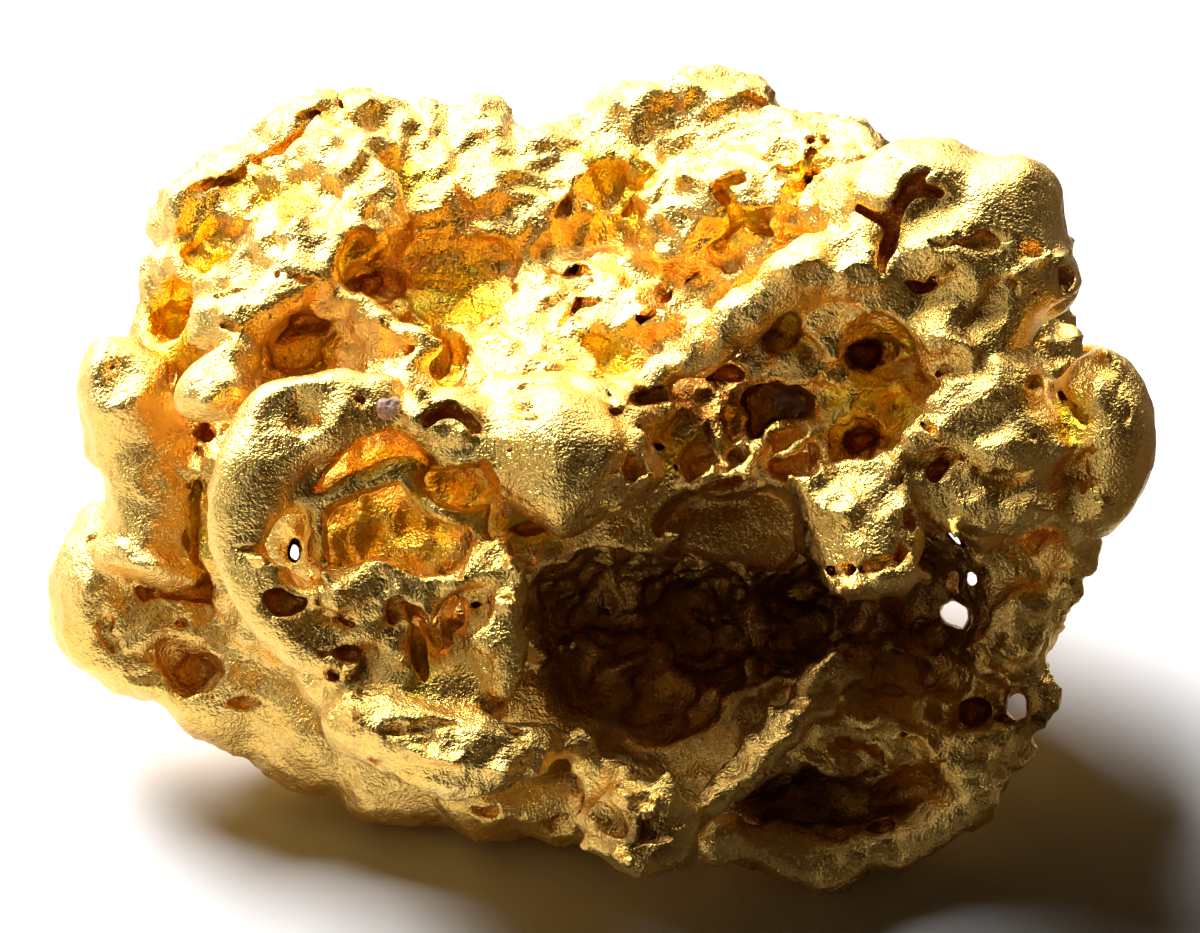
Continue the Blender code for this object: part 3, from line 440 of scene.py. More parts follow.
# ---- The nose ----------------------------------------------------------------------------
# Two swollen lumps of rubbed gold beside the ring, grown out of the trunk in one with it.
# They overhang the cavern, and a thin fibre of gold runs down from their edge.
add_lumps(gold, SHOW_FACE, [
    ("nose_root", (-1.6, 0.3, -4.2), (2.4, 1.3, 2.1)),
    ("nose", (-0.75, 0.02, -1.05), (1.6, 1.5, 1.25), -10),
    ("nose_middle", (-2.3, 0.25, -1.3), (0.8, 0.95, 0.9)),
    ("nose_left", (-3.15, 0.85, -0.9), (0.85, 0.5, 0.75), 12),
    ("nose_left_low", (-3.0, 0.1, -1.4), (0.8, 0.5, 0.8)),
    ("nose_top", (-1.2, 1.2, -1.9), (1.6, 0.45, 0.9), 6),
    ("nose_tip", (0.55, -0.25, -1.3), (0.75, 1.0, 0.9)),
    ("nose_brow", (0.4, 0.75, -2.2), (1.0, 0.8, 1.0)),
])
add_lumps(hollows, SHOW_FACE, [
    ("under_nose", (2.3, -0.4, -2.4), (0.9, 0.6, 1.2)),
])
pockets += [
    ("slot", 0.5, 0.6, [(-3.6, 0.44), (-3.44, 0.64), (-3.16, 0.76), (-2.84, 0.72), (-2.6, 0.56),
        (-2.38, 0.4), (-2.6, 0.34), (-2.88, 0.46), (-3.12, 0.5), (-3.36, 0.4), (-3.52, 0.28)]),
    ("crater", 0.35, 0.6, [(0.44, -0.28), (0.64, -0.16), (0.84, -0.28), (0.88, -0.52),
        (0.76, -0.76), (0.56, -0.8), (0.42, -0.6)]),
]
pits += [
    ((0.24, -0.52), (0.12, 0.2, 0.2)), ((-1.3, -1.64, -0.1), (0.6, 0.14, 0.4), 5),
    ((-0.86, 1.48), (0.24, 0.08, 0.2)), ((-2.6, 0.28), (0.2, 0.16, 0.15)),
]
grooves += [
    ("slot_line", [(-3.6, 0.4, 0.07), (-3.36, 0.6, -0.08, 0.11), (-3.04, 0.72, -0.1, 0.13),
        (-2.72, 0.64, -0.08, 0.1), (-2.44, 0.4, 0.07)]),
    ("side_line", [(-0.04, 0.76, 0.05), (-0.12, 0.12, 0.06), (-0.04, -0.68, 0.06),
        (0.12, -1.18, 0.05)]),
    ("ring_line", [(0.32, -0.12, 0.05), (0.56, 0.0, 0.05), (0.84, -0.16, 0.05), (0.92, -0.48, 0.05),
        (0.8, -0.78, 0.05)]),
    ("fibre_groove", [(0.12, 1.04, -0.1, 0.1), (0.44, 0.6, -0.15, 0.13), (0.92, 0.16, -0.15, 0.13),
        (1.36, -0.28, -0.1, 0.12), (1.8, -0.78, -0.1, 0.1)]),
    ("lip_line_1", [(-2.0, -0.92, 0.05), (-1.4, -1.28, 0.06), (-0.8, -1.4, 0.05)]),
    ("lip_line_2", [(-0.5, -1.28, 0.05), (0.1, -1.34, 0.06), (0.7, -1.08, 0.05)]),
    ("nose_line", [(-1.76, 0.72, 0.05), (-1.6, 0.42, 0.06), (-1.68, 0.02, 0.06), (-1.9, -0.28, 0.05)]),
    ("top_line", [(-2.0, 1.32, 0.05), (-1.6, 1.16, 0.06), (-1.1, 1.28, 0.05)]),
]
ridges += [
    ("fibre", [(0.24, 1.08, 0.02, 0.07), (0.68, 0.56, 0.05, 0.08), (1.2, 0.04, 0.05, 0.08),
        (1.68, -0.52, 0.07)]),
    ("left_edge", [(-2.0, 1.08, 0.08), (-1.8, 0.72, 0.02, 0.1), (-1.92, 0.22, 0.02, 0.1),
        (-2.0, -0.18, 0.08)]),
    ("lip_edge", [(-3.0, -0.28, 0.08), (-2.4, -0.58, 0.02, 0.1), (-2.0, -0.98, 0.02, 0.1),
        (-1.3, -1.18, 0.08)]),
]
knobs += [
    ((-2.96, 0.22), (0.36, 0.26, 0.25), 10), ((-2.24, 0.52), (0.28, 0.32, 0.25)),
    ((-3.5, 1.02), (0.36, 0.24, 0.25), -15), ((0.72, 0.12), (0.24, 0.24, 0.2)),
    ((0.2, -1.08), (0.36, 0.2, 0.2), 10),
]
flats += [
    ((-2.96, 0.28), 0.32, 0.05), ((-3.36, 0.92), 0.28, 0.05), ((-2.12, 0.72), 0.24, 0.04),
    ((-1.9, 0.32), 0.2, 0.04), ((-0.4, 1.32), 0.32, 0.05),
]


# ---- The shoulder ------------------------------------------------------------------------
# A broad rounded shoulder of solid gold on the upper right, rubbed close and matt.
# A star-shaped crack splits it, where a crystal's corner once stood in the gold.
add_lumps(gold, SHOW_FACE, [
    ("shoulder_left", (5.2, 4.9, -3.8), (1.2, 1.2, 1.5)),
    ("shoulder_top", (6.3, 5.2, -3.3), (1.7, 1.35, 1.7)),
    ("shoulder", (8.0, 4.6, -3.3), (1.5, 1.55, 1.7), -20),
    ("shoulder_right", (8.4, 3.7, -3.4), (1.15, 1.4, 1.5), -10),
    ("shoulder_front", (6.8, 4.0, -2.5), (1.4, 1.0, 1.2), 12),
    ("shoulder_ridge", (5.2, 4.0, -2.7), (1.0, 0.9, 1.1)),
    ("wall_under_ridge", (5.0, 2.7, -3.9), (2.6, 1.2, 1.5), 10),
    ("neck", (7.8, 2.7, -3.4), (1.1, 1.1, 1.5)),
    ("neck_front", (6.9, 2.3, -2.3), (0.8, 0.7, 0.9), 40),
])
add_ropes(cuts, SHOW_FACE, [
    ("neck_gap", [(9.0, 2.2, -2.6, 0.16), (9.2, 3.0, -2.9, 0.18), (9.5, 3.5, -3.2, 0.14)]),
])
pockets += [
    ("star", 0.8, 0.6, [(5.12, 4.9), (5.36, 4.86), (5.6, 4.74), (5.78, 4.7), (5.92, 5.0),
        (6.04, 5.32), (6.26, 5.5), (6.6, 5.66), (6.74, 5.52), (6.48, 5.36), (6.32, 5.2),
        (6.56, 5.26), (6.9, 5.18), (6.9, 4.98), (6.56, 4.98), (6.28, 4.9), (6.16, 4.66),
        (6.06, 4.38), (5.98, 4.06), (5.86, 3.74), (5.7, 3.4), (5.52, 3.46), (5.58, 3.82),
        (5.66, 4.18), (5.7, 4.38), (5.42, 4.54), (5.14, 4.68)]),
    ("side_dark", 0.3, 0.5, [(7.28, 4.08), (7.52, 4.2), (7.84, 4.16), (8.08, 4.04), (8.0, 3.88),
        (7.68, 3.84), (7.4, 3.88)]),
    ("side_dark_2", 0.3, 0.5, [(8.44, 4.0), (8.68, 4.12), (8.96, 4.04), (9.0, 3.84), (8.76, 3.72),
        (8.52, 3.8)]),
    ("cleft", 0.5, 0.6, [(9.12, 3.48), (9.32, 3.64), (9.56, 3.56), (9.56, 3.28), (9.4, 3.0),
        (9.2, 3.08)]),
]
grooves += [
    ("fold", [(6.5, 4.22, 0.07), (7.1, 4.08, -0.05, 0.1), (7.8, 4.2, -0.05, 0.1),
        (8.2, 4.08, -0.03, 0.08)]),
    ("fold_2", [(5.8, 3.32, 0.08), (6.6, 3.28, -0.05, 0.12), (7.3, 3.48, -0.05, 0.12)]),
    ("fold_3", [(8.2, 3.32, 0.06), (8.7, 3.02, 0.07), (9.0, 3.32, 0.06)]),
]
ridges += [
    ("bright_ridge", [(7.1, 2.76, 0.12), (7.56, 3.2, 0.05, 0.15), (8.0, 3.52, 0.05, 0.15),
        (8.4, 3.64, 0.03, 0.12)]),
    ("bright_ridge_2", [(8.4, 3.32, 0.08), (8.8, 3.76, 0.05, 0.12), (9.0, 4.08, 0.08)]),
    ("edge_ridge", [(9.36, 4.72, 0.1), (9.48, 4.22, 0.02, 0.12), (9.44, 3.72, 0.1)]),
]
flats += [
    ((6.68, 4.72), 0.4, 0.12), ((5.08, 3.96), 0.52, 0.14), ((5.8, 3.62), 0.26, 0.06),
    ((6.16, 4.32), 0.22, 0.05), ((7.5, 2.96), 0.32, 0.06), ((8.36, 3.6), 0.18, 0.04),
    ((8.84, 3.92), 0.18, 0.04), ((5.4, 5.42), 0.48, 0.08), ((7.8, 2.42), 0.4, 0.06),
]


# ---- The web -----------------------------------------------------------------------------
# Thin webs of gold between dark pockets, where crystals of quartz once sat.
# The gold grew between the crystals, and kept their hollows when they fell out.
add_lumps(gold, SHOW_FACE, [
    ("pocket_bed", (3.8, 1.0, -5.0), (3.0, 2.0, 1.6)),
])
add_lumps(hollows, SHOW_FACE, [
    ("web_pocket_top", (5.4, 2.1, -2.2), (0.8, 0.5, 1.6)),
    ("web_pocket_small", (3.7, 2.3, -2.4), (0.45, 0.5, 1.0)),
    ("web_pocket_quartz", (3.3, 0.9, -2.6), (1.1, 0.6, 1.3)),
    ("web_pocket_right", (5.1, 0.3, -2.4), (0.7, 0.7, 1.5)),
    ("web_pocket_left", (1.9, 1.2, -2.4), (0.8, 0.35, 1.2)),
    ("web_pocket_low", (3.9, 0.0, -2.6), (0.5, 0.6, 1.2)),
    ("under_lip", (3.4, -1.4, -2.8), (0.9, 0.4, 1.3)),
])
pockets += [
    ("pocket_a", 1.1, 0.7, [(4.94, 1.96), (5.12, 2.14), (5.36, 2.08), (5.6, 2.12), (5.72, 1.88),
        (5.6, 1.6), (5.36, 1.44), (5.16, 1.56), (5.0, 1.52)]),
    ("pocket_b", 0.9, 0.7, [(3.46, 2.56), (3.72, 2.74), (4.02, 2.66), (4.1, 2.4), (3.94, 2.14),
        (3.64, 2.1), (3.46, 2.32)]),
    ("pocket_c", 1.2, 0.8, [(2.82, 1.04), (3.16, 1.24), (3.56, 1.28), (4.04, 1.22), (4.32, 1.06),
        (4.32, 0.72), (4.12, 0.48), (3.8, 0.52), (3.44, 0.4), (3.28, 0.16), (3.0, 0.0),
        (2.88, 0.32), (3.0, 0.68), (2.8, 0.8)]),
    ("pocket_d", 1.1, 0.7, [(4.84, 0.2), (5.04, 0.32), (5.24, 0.28), (5.52, 0.38), (5.72, 0.16),
        (5.56, -0.04), (5.32, -0.08), (5.16, -0.24), (4.92, -0.08)]),
    ("pocket_e", 0.9, 0.7, [(3.54, -0.36), (3.84, -0.18), (4.24, -0.22), (4.5, -0.4), (4.32, -0.62),
        (3.92, -0.66), (3.6, -0.58)]),
    ("pocket_f", 0.7, 0.7, [(1.88, 1.52), (2.24, 1.64), (2.68, 1.64), (3.0, 1.48), (2.84, 1.28),
        (2.4, 1.28), (2.04, 1.32)]),
    ("pocket_g", 0.8, 0.7, [(2.44, 0.72), (2.72, 0.84), (2.92, 0.6), (2.88, 0.2), (2.68, -0.04),
        (2.48, 0.16)]),
    ("bay", 0.7, 0.7, [(0.52, 1.0), (0.88, 1.16), (1.28, 1.24), (1.64, 1.16), (1.52, 0.92),
        (1.12, 0.8), (0.76, 0.76)]),
]
pits += [
    ((2.24, 0.12), (0.16, 0.44, 0.35), 10), ((4.6, 1.12), (0.28, 0.2, 0.3)),
]
bridges += [
    ("web_1", [(3.4, 2.88, -3.15, 0.09), (3.84, 2.84, -3.1, 0.1), (4.12, 2.56, -3.15, 0.09),
        (4.44, 2.42, -3.15, 0.08), (4.9, 2.62, -3.2, 0.08), (5.44, 2.76, -3.1, 0.1),
        (6.0, 2.48, -3.05, 0.08)]),
    ("web_2", [(4.12, 2.56, -3.1, 0.12), (4.16, 2.12, -3.0, 0.14), (4.0, 1.72, -2.9, 0.16),
        (4.24, 1.44, -2.8, 0.16), (4.76, 1.56, -2.9, 0.14), (5.04, 1.36, -2.9, 0.14),
        (5.6, 1.28, -2.9, 0.16)]),
    ("web_3", [(4.24, 1.44, -2.9, 0.12), (3.8, 1.28, -2.9, 0.14), (3.3, 1.32, -3.0, 0.12),
        (2.9, 1.24, -3.1, 0.12), (2.72, 0.92, -3.2, 0.12)]),
    ("web_4", [(4.4, 0.52, -3.0, 0.1), (4.52, 0.12, -2.9, 0.08), (4.52, -0.28, -2.8, 0.08),
        (4.56, -0.72, -2.6, 0.1)]),
    ("web_5", [(4.44, 0.44, -3.0, 0.1), (4.92, 0.52, -3.0, 0.1), (5.36, 0.76, -2.9, 0.14),
        (5.64, 0.96, -2.8, 0.14), (5.96, 0.52, -2.6, 0.14)]),
    ("web_6", [(2.0, -0.72, -2.4, 0.16), (2.44, -0.56, -2.4, 0.18), (2.92, -0.4, -2.4, 0.16),
        (3.24, 0.0, -2.6, 0.13), (3.52, 0.4, -2.7, 0.12)]),
    ("web_7", [(3.36, -0.32, -2.8, 0.1), (3.8, -0.12, -2.8, 0.11), (4.24, 0.2, -2.9, 0.1),
        (4.4, 0.52, -3.0, 0.1)]),
    ("web_8", [(2.44, 0.72, -3.2, 0.12), (2.24, 0.32, -3.1, 0.14), (2.32, -0.18, -2.9, 0.14),
        (2.48, -0.56, -2.6, 0.14)]),
    ("web_9", [(0.4, 1.32, -2.4, 0.08), (1.0, 1.48, -2.4, 0.1), (1.6, 1.72, -2.5, 0.09),
        (2.0, 1.68, -2.7, 0.1), (2.7, 1.72, -3.0, 0.09), (3.3, 1.64, -3.1, 0.1),
        (4.0, 1.72, -3.0, 0.08)]),
]
knobs += [
    ((4.0, 1.88), (0.28, 0.26, 0.3)), ((5.0, 1.12), (0.24, 0.22, 0.3)),
    ((5.5, 0.84), (0.28, 0.24, 0.3)), ((3.8, 0.28), (0.2, 0.18, 0.25)),
    ((2.5, -0.68), (0.32, 0.18, 0.25), 15), ((1.6, 0.52), (0.4, 0.32, 0.25)),
    ((2.48, 0.0), (0.18, 0.18, 0.2)), ((4.72, 1.88), (0.18, 0.24, 0.25)),
]
flats += [
    ((6.1, 1.8), 0.28, 0.04), ((2.56, -0.64), 0.28, 0.04), ((3.4, 0.2), 0.18, 0.03),
    ((5.52, 0.84), 0.2, 0.03), ((4.2, 1.6), 0.16, 0.03),
]


# ---- The cheek and the knob --------------------------------------------------------------
# Blocky lumps on the right, with a round knob at the end and a lump that hangs below.
# They are solid gold, and stones that it rolled against have hammered their faces flat.
add_lumps(gold, SHOW_FACE, [
    ("cheek_top", (7.7, 1.4, -2.5), (1.25, 0.9, 1.2)),
    ("cheek", (8.1, 0.2, -2.6), (1.3, 1.2, 1.5)),
    ("cheek_left", (7.0, 0.3, -2.3), (1.0, 1.0, 1.1)),
    ("cheek_root", (7.8, 0.6, -4.2), (1.8, 1.6, 1.6)),
    ("cheek_low", (8.0, -1.05, -2.5), (1.5, 0.6, 1.2), 6),
    ("knob", (10.1, 0.3, -3.1), (1.0, 1.85, 1.4), 3),
    ("knob_low", (9.8, -1.0, -3.1), (0.95, 0.65, 1.1)),
    ("shelf", (5.9, -0.55, -2.2), (1.3, 0.5, 0.9)),
    ("shelf_left", (4.6, -0.7, -2.3), (1.0, 0.45, 0.8), -12),
])
add_lumps(front, SHOW_FACE, [
    ("lump", (5.3, -2.0, -1.8), (1.05, 0.85, 0.85)),
    ("lump_foot", (5.3, -2.65, -1.7), (0.95, 0.32, 0.7), 4),
    ("lump_neck", (5.2, -1.2, -2.0), (1.25, 0.75, 0.85)),
])
pockets += [
    ("hole", 0.4, 0.6, [(8.48, 1.24), (8.6, 1.4), (8.88, 1.44), (9.08, 1.32), (9.0, 1.12),
        (8.72, 1.06)]),
    ("pit", 0.7, 0.7, [(6.44, -0.56), (6.6, -0.32), (6.88, -0.2), (7.12, -0.28), (7.08, -0.52),
        (6.84, -0.72), (6.56, -0.74)]),
]
pits += [
    ((8.2, -0.68), (0.68, 0.24, 0.18), 12), ((9.7, -0.68), (0.4, 0.32, 0.18)),
    ((8.8, 0.22), (0.2, 0.12, 0.14)), ((6.16, -1.48, -0.1), (0.18, 0.24, 0.4), 30),
]
grooves += [
    ("yellow_groove", [(9.24, 1.28, -0.05, 0.1), (9.4, 0.92, -0.1, 0.14), (9.68, 0.52, -0.1, 0.13),
        (9.88, 0.28, -0.03, 0.09)]),
    ("amber_line", [(6.92, -0.08, 0.07), (7.32, -0.36, -0.05, 0.1), (7.72, -0.68, 0.08)]),
    ("line_1", [(6.72, 1.22, 0.06), (7.0, 1.48, -0.03, 0.08), (7.36, 1.56, 0.06)]),
    ("line_2", [(6.1, 0.52, 0.06), (6.56, 0.36, -0.04, 0.08), (6.88, 0.08, 0.06)]),
    ("lump_line", [(4.36, -2.44, 0.1), (4.9, -2.52, -0.03, 0.14), (5.44, -2.48, -0.03, 0.14),
        (6.0, -2.24, -0.03, 0.14), (6.24, -1.92, 0.1)]),
    ("line_3", [(5.6, -0.92, 0.05), (6.1, -0.84, -0.03, 0.06), (6.6, -0.98, 0.05)]),
    ("knob_line", [(10.0, 1.62, 0.05), (10.4, 1.12, 0.06), (10.56, 0.52, 0.06), (10.4, -0.18, 0.05)]),
    ("knob_shade", [(9.96, 0.16, 0.06), (9.8, -0.28, -0.03, 0.08), (9.72, -0.78, 0.06)]),
]
ridges += [
    ("lump_rim", [(4.32, -2.68, 0.12), (4.52, -2.9, 0.13), (5.0, -2.9, 0.03, 0.14),
        (5.6, -2.72, 0.03, 0.14), (6.24, -2.52, 0.13), (6.4, -2.16, 0.1)]),
    ("lower_edge", [(6.5, -1.48, 0.1), (7.3, -1.6, 0.02, 0.12), (8.2, -1.52, 0.02, 0.12),
        (8.9, -1.28, 0.02, 0.1), (9.6, -1.52, 0.02, 0.12), (10.3, -1.38, 0.1)]),
    ("knob_edge", [(9.36, 1.72, 0.1), (9.8, 1.96, 0.02, 0.12), (10.3, 1.76, 0.02, 0.12),
        (10.8, 1.12, 0.02, 0.12)]),
]
knobs += [
    ((7.7, 1.32, -0.05), (0.44, 0.36, 0.3), 20), ((6.9, 0.82, -0.05), (0.4, 0.32, 0.3)),
    ((8.0, 0.22, -0.05), (0.44, 0.32, 0.28)), ((6.3, 0.12), (0.32, 0.28, 0.28)),
    ((7.5, -0.98), (0.36, 0.28, 0.28), 20), ((5.8, -1.28), (0.4, 0.28, 0.28)),
    ((4.7, -1.18), (0.44, 0.28, 0.28)), ((10.1, 0.92, -0.05), (0.32, 0.52, 0.28)),
    ((9.1, -0.08, -0.05), (0.4, 0.28, 0.25)),
]
flats += [
    ((6.64, 2.56), 0.92, 0.22), ((6.1, 0.76), 0.72, 0.2), ((7.36, 1.32), 0.64, 0.18),
    ((7.7, 2.42), 0.52, 0.14), ((6.76, -0.44), 0.52, 0.16), ((5.12, -0.88), 0.6, 0.22),
    ((8.08, 0.22), 0.48, 0.12), ((6.2, 0.82), 0.32, 0.07), ((6.64, 1.22), 0.24, 0.05),
    ((7.1, 1.42), 0.24, 0.05), ((9.7, 1.56), 0.36, 0.07), ((9.92, 0.52), 0.18, 0.04),
    ((10.06, -0.28), 0.2, 0.05), ((7.5, -1.08), 0.3, 0.06), ((5.84, -1.28), 0.36, 0.07),
    ((4.8, -0.98), 0.4, 0.06), ((5.4, -0.68), 0.4, 0.06), ((6.4, -0.48), 0.24, 0.05),
    ((4.36, -2.48), 0.18, 0.05), ((6.8, 0.52), 0.28, 0.05), ((6.0, 1.42), 0.24, 0.04),
    ((9.0, 1.22), 0.16, 0.03),
]


# ---- The cavern --------------------------------------------------------------------------
# A deep cavern eaten into the front, with a thin wall, a rib and a rim round it, and a
# stubby foot below.
add_lumps(gold, SHOW_FACE, [
    ("cavern_wall", (8.4, -2.6, -5.0), (1.2, 1.9, 1.3), -20),
    ("cavern_wall_low", (7.6, -4.4, -5.8), (1.3, 1.6, 1.0)),
    ("bowl", (3.4, -4.4, -6.3), (4.8, 2.6, 2.2)),
    ("bowl_right", (4.3, -6.4, -5.5), (3.0, 1.6, 1.2)),
    ("bowl_left", (-1.5, -4.6, -6.3), (3.0, 2.2, 2.2)),
])
add_lumps(hollows, SHOW_FACE, [
    ("cavern_left", (0.1, -3.1, -2.6), (1.6, 1.4, 3.4)),
    ("cavern_middle", (2.2, -3.3, -2.6), (1.9, 1.6, 4.2)),
    ("cavern_right", (4.4, -3.2, -3.0), (2.0, 1.25, 4.0)),
    ("cavern_far_right", (6.4, -2.9, -3.8), (1.5, 1.35, 3.0)),
    ("cavern_low_left", (-0.3, -4.6, -2.6), (1.1, 1.2, 3.0)),
    ("cavern_low", (1.1, -4.9, -2.6), (1.6, 1.35, 3.2)),
    ("cavern_low_right", (6.3, -4.4, -4.0), (1.3, 0.8, 2.0)),
    ("low_pocket", (4.3, -7.0, -3.4), (1.9, 0.6, 2.2), 5),
    ("low_pocket_end", (5.9, -6.8, -3.8), (0.9, 0.45, 1.8)),
])
add_lumps(front, SHOW_FACE, [
    ("foot_knob", (0.76, -7.4, -1.85), (1.18, 1.05, 1.0)),
    ("foot_neck", (0.4, -6.6, -2.8), (0.75, 0.6, 1.4)),
])
add_ropes(front, SHOW_FACE, [
    ("rib", [(5.0, -4.1, -4.4, 0.35), (4.5, -4.5, -3.8, 0.42), (3.8, -5.2, -3.2, 0.5),
        (3.1, -6.0, -2.8, 0.52), (2.3, -6.7, -2.5, 0.5), (1.7, -7.2, -2.2, 0.4)]),
    ("rim", [(9.5, -1.9, -4.0, 0.65), (9.0, -2.7, -4.2, 0.6), (8.5, -3.4, -4.4, 0.6),
        (8.2, -4.0, -4.5, 0.6), (8.6, -4.6, -4.7, 0.42), (8.8, -5.2, -4.8, 0.38),
        (8.4, -5.8, -4.8, 0.4), (7.7, -6.0, -4.7, 0.45), (7.4, -6.6, -4.7, 0.5),
        (7.0, -7.2, -4.7, 0.58), (6.2, -7.7, -4.7, 0.58), (5.2, -8.0, -4.6, 0.55),
        (4.2, -8.2, -4.5, 0.55), (3.2, -7.9, -4.3, 0.5), (2.2, -7.7, -3.9, 0.5)]),
    ("band", [(3.9, -5.5, -4.4, 0.4), (5.0, -5.5, -4.5, 0.45), (6.0, -5.7, -4.6, 0.48),
        (7.0, -6.1, -4.7, 0.48), (7.6, -6.2, -4.7, 0.4)]),
])
pockets += [
    ("window_high", 14.0, 1.0, [(6.88, -1.6), (7.04, -1.56), (7.36, -1.92), (7.32, -2.12),
        (7.12, -2.0), (6.96, -1.8)]),
    ("window_mid", 14.0, 1.0, [(7.34, -2.48), (7.6, -2.48), (7.68, -2.72), (7.52, -2.92),
        (7.32, -2.76)]),
    ("window_low", 14.0, 1.0, [(6.88, -3.2), (7.08, -3.08), (7.36, -3.22), (7.44, -3.48),
        (7.32, -3.8), (7.16, -3.64), (6.96, -3.6), (6.8, -3.44)]),
    ("loop", 2.2, 0.8, [(8.2, -5.0), (8.44, -4.84), (8.62, -5.08), (8.62, -5.44), (8.4, -5.6),
        (8.12, -5.4)]),
    ("loop_low", 1.2, 0.7, [(7.2, -5.16), (7.6, -5.0), (7.92, -5.16), (7.88, -5.52), (7.52, -5.72),
        (7.2, -5.6)]),
    ("cavern_top", 2.0, 0.85, [(1.0, -1.64), (1.28, -1.12), (1.8, -0.84), (2.3, -1.0), (2.9, -0.92),
        (3.44, -0.76), (3.92, -1.0), (4.12, -1.48), (4.12, -2.28), (3.6, -2.68), (2.8, -2.52),
        (2.0, -2.44), (1.28, -2.24)]),
    ("foot_left", 0.2, 0.8, [(-0.24, -7.12), (0.12, -7.12), (0.44, -7.4), (0.58, -7.8),
        (0.48, -8.0), (0.08, -7.88), (-0.2, -7.6)]),
    ("foot_right", 0.2, 0.8, [(0.76, -7.64), (1.2, -7.36), (1.68, -7.6), (1.8, -7.88),
        (1.28, -8.04), (0.8, -8.08)]),
    ("foot_top", 0.15, 0.8, [(0.8, -6.68), (1.12, -6.6), (1.28, -6.92), (1.08, -7.2), (0.8, -7.44),
        (0.64, -7.16)]),
    ("low_slit", 0.6, 0.7, [(5.36, -7.64), (5.68, -7.52), (6.0, -7.6), (5.92, -7.8), (5.6, -7.92),
        (5.36, -7.84)]),
]
pits += [
    ((5.56, -7.68), (0.32, 0.12, 0.3), 12), ((8.1, -4.48), (0.24, 0.16, 0.3), -40),
    ((5.0, -6.08), (0.32, 0.12, 0.3)), ((6.1, -5.84), (0.24, 0.1, 0.25)),
    ((-0.66, -6.42, -0.05), (0.18, 0.12, 0.3), -20), ((3.4, -6.48), (0.16, 0.2, 0.2), 20),
]
grooves += [
    ("foot_line", [(-0.04, -7.12, 0.05), (0.4, -7.36, 0.06), (0.72, -7.68, -0.02, 0.06),
        (0.8, -8.12, 0.05)]),
    ("rim_line", [(8.2, -3.48, 0.06), (8.0, -3.98, 0.08), (7.7, -4.48, 0.06)]),
    ("band_line", [(4.6, -5.88, 0.08), (5.4, -6.08, -0.05, 0.1), (6.0, -6.38, -0.05, 0.1),
        (6.8, -6.52, 0.08)]),
]
bridges += [
    ("spike", [(6.5, -5.64, -5.0, 0.22), (6.54, -5.24, -4.9, 0.2), (6.52, -4.92, -4.8, 0.13)]),
    ("rib_head", [(4.0, -5.08, -3.4, 0.22), (4.3, -4.68, -3.3, 0.24), (4.64, -4.38, -3.3, 0.24),
        (4.76, -4.08, -3.4, 0.16)]),
    ("under_nose_web", [(-0.8, -1.72, -2.2, 0.1), (0.0, -1.88, -2.5, 0.12),
        (0.4, -1.58, -2.3, 0.12), (1.0, -1.58, -2.4, 0.1)]),
    ("link_twig", [(-0.68, -5.8, -1.6, 0.1), (-0.4, -5.84, -1.7, 0.12), (-0.24, -6.08, -1.7, 0.14),
        (-0.2, -6.48, -1.8, 0.14)]),
]
ridges += [
    ("foot_rim", [(-0.32, -7.6, 0.1), (-0.04, -8.04, 0.14), (0.5, -8.36, 0.15), (1.1, -8.48, 0.15),
        (1.64, -8.32, 0.14), (1.96, -7.84, 0.11)]),
    ("foot_star", [(0.84, -7.36, 0.06), (0.74, -7.72, 0.07), (0.7, -8.16, 0.06)]),
    ("foot_star_left", [(0.2, -6.8, 0.05), (0.48, -7.08, 0.07), (0.84, -7.36, 0.05)]),
    ("foot_star_right", [(1.36, -6.92, 0.05), (1.12, -7.12, 0.07), (0.84, -7.36, 0.05)]),
    ("foot_side", [(-0.36, -6.8, 0.08), (-0.4, -7.2, 0.1), (-0.32, -7.6, 0.08)]),
    ("wall_1", [(-0.5, -2.38, 0.12), (-0.68, -2.98, 0.16), (-0.8, -3.48, 0.16), (-0.6, -4.04, 0.16),
        (-0.32, -4.52, 0.14)]),
    ("wall_2", [(0.8, -2.68, 0.14), (1.8, -2.18, 0.2), (2.6, -1.98, 0.22), (3.4, -1.92, 0.22),
        (3.9, -1.58, 0.16)]),
    ("wall_3", [(2.6, -1.98, 0.16), (3.04, -2.48, 0.22), (2.84, -3.08, 0.22),
        (2.5, -3.48, 0.1, 0.2), (2.0, -3.64, 0.14)]),
    ("wall_4", [(2.84, -3.24, 0.14), (3.36, -3.68, 0.1, 0.18), (3.44, -4.04, 0.1, 0.16),
        (3.14, -4.36, 0.1, 0.18), (2.72, -4.48, 0.12)]),
    ("wall_5", [(6.1, -3.68, 0.07), (5.92, -4.16, 0.08), (5.6, -4.68, 0.06)]),
]
knobs += [
    ((0.36, -6.68), (0.28, 0.32, 0.3)), ((1.3, -6.92), (0.36, 0.32, 0.3)),
    ((2.0, -2.28), (0.28, 0.2, 0.3)), ((0.0, -3.08), (0.36, 0.32, 0.3)),
    ((1.2, -4.28), (0.4, 0.36, 0.35)), ((2.0, -5.48), (0.36, 0.28, 0.3)),
    ((5.0, -3.48), (0.52, 0.4, 0.35)), ((6.0, -4.48), (0.4, 0.32, 0.3)),
    ((0.4, -5.08), (0.4, 0.32, 0.3)), ((2.7, -5.18), (0.18, 0.16, 0.3)),
    ((8.4, -3.08), (0.32, 0.36, 0.3), 30), ((5.6, -5.58), (0.48, 0.24, 0.3)),
]
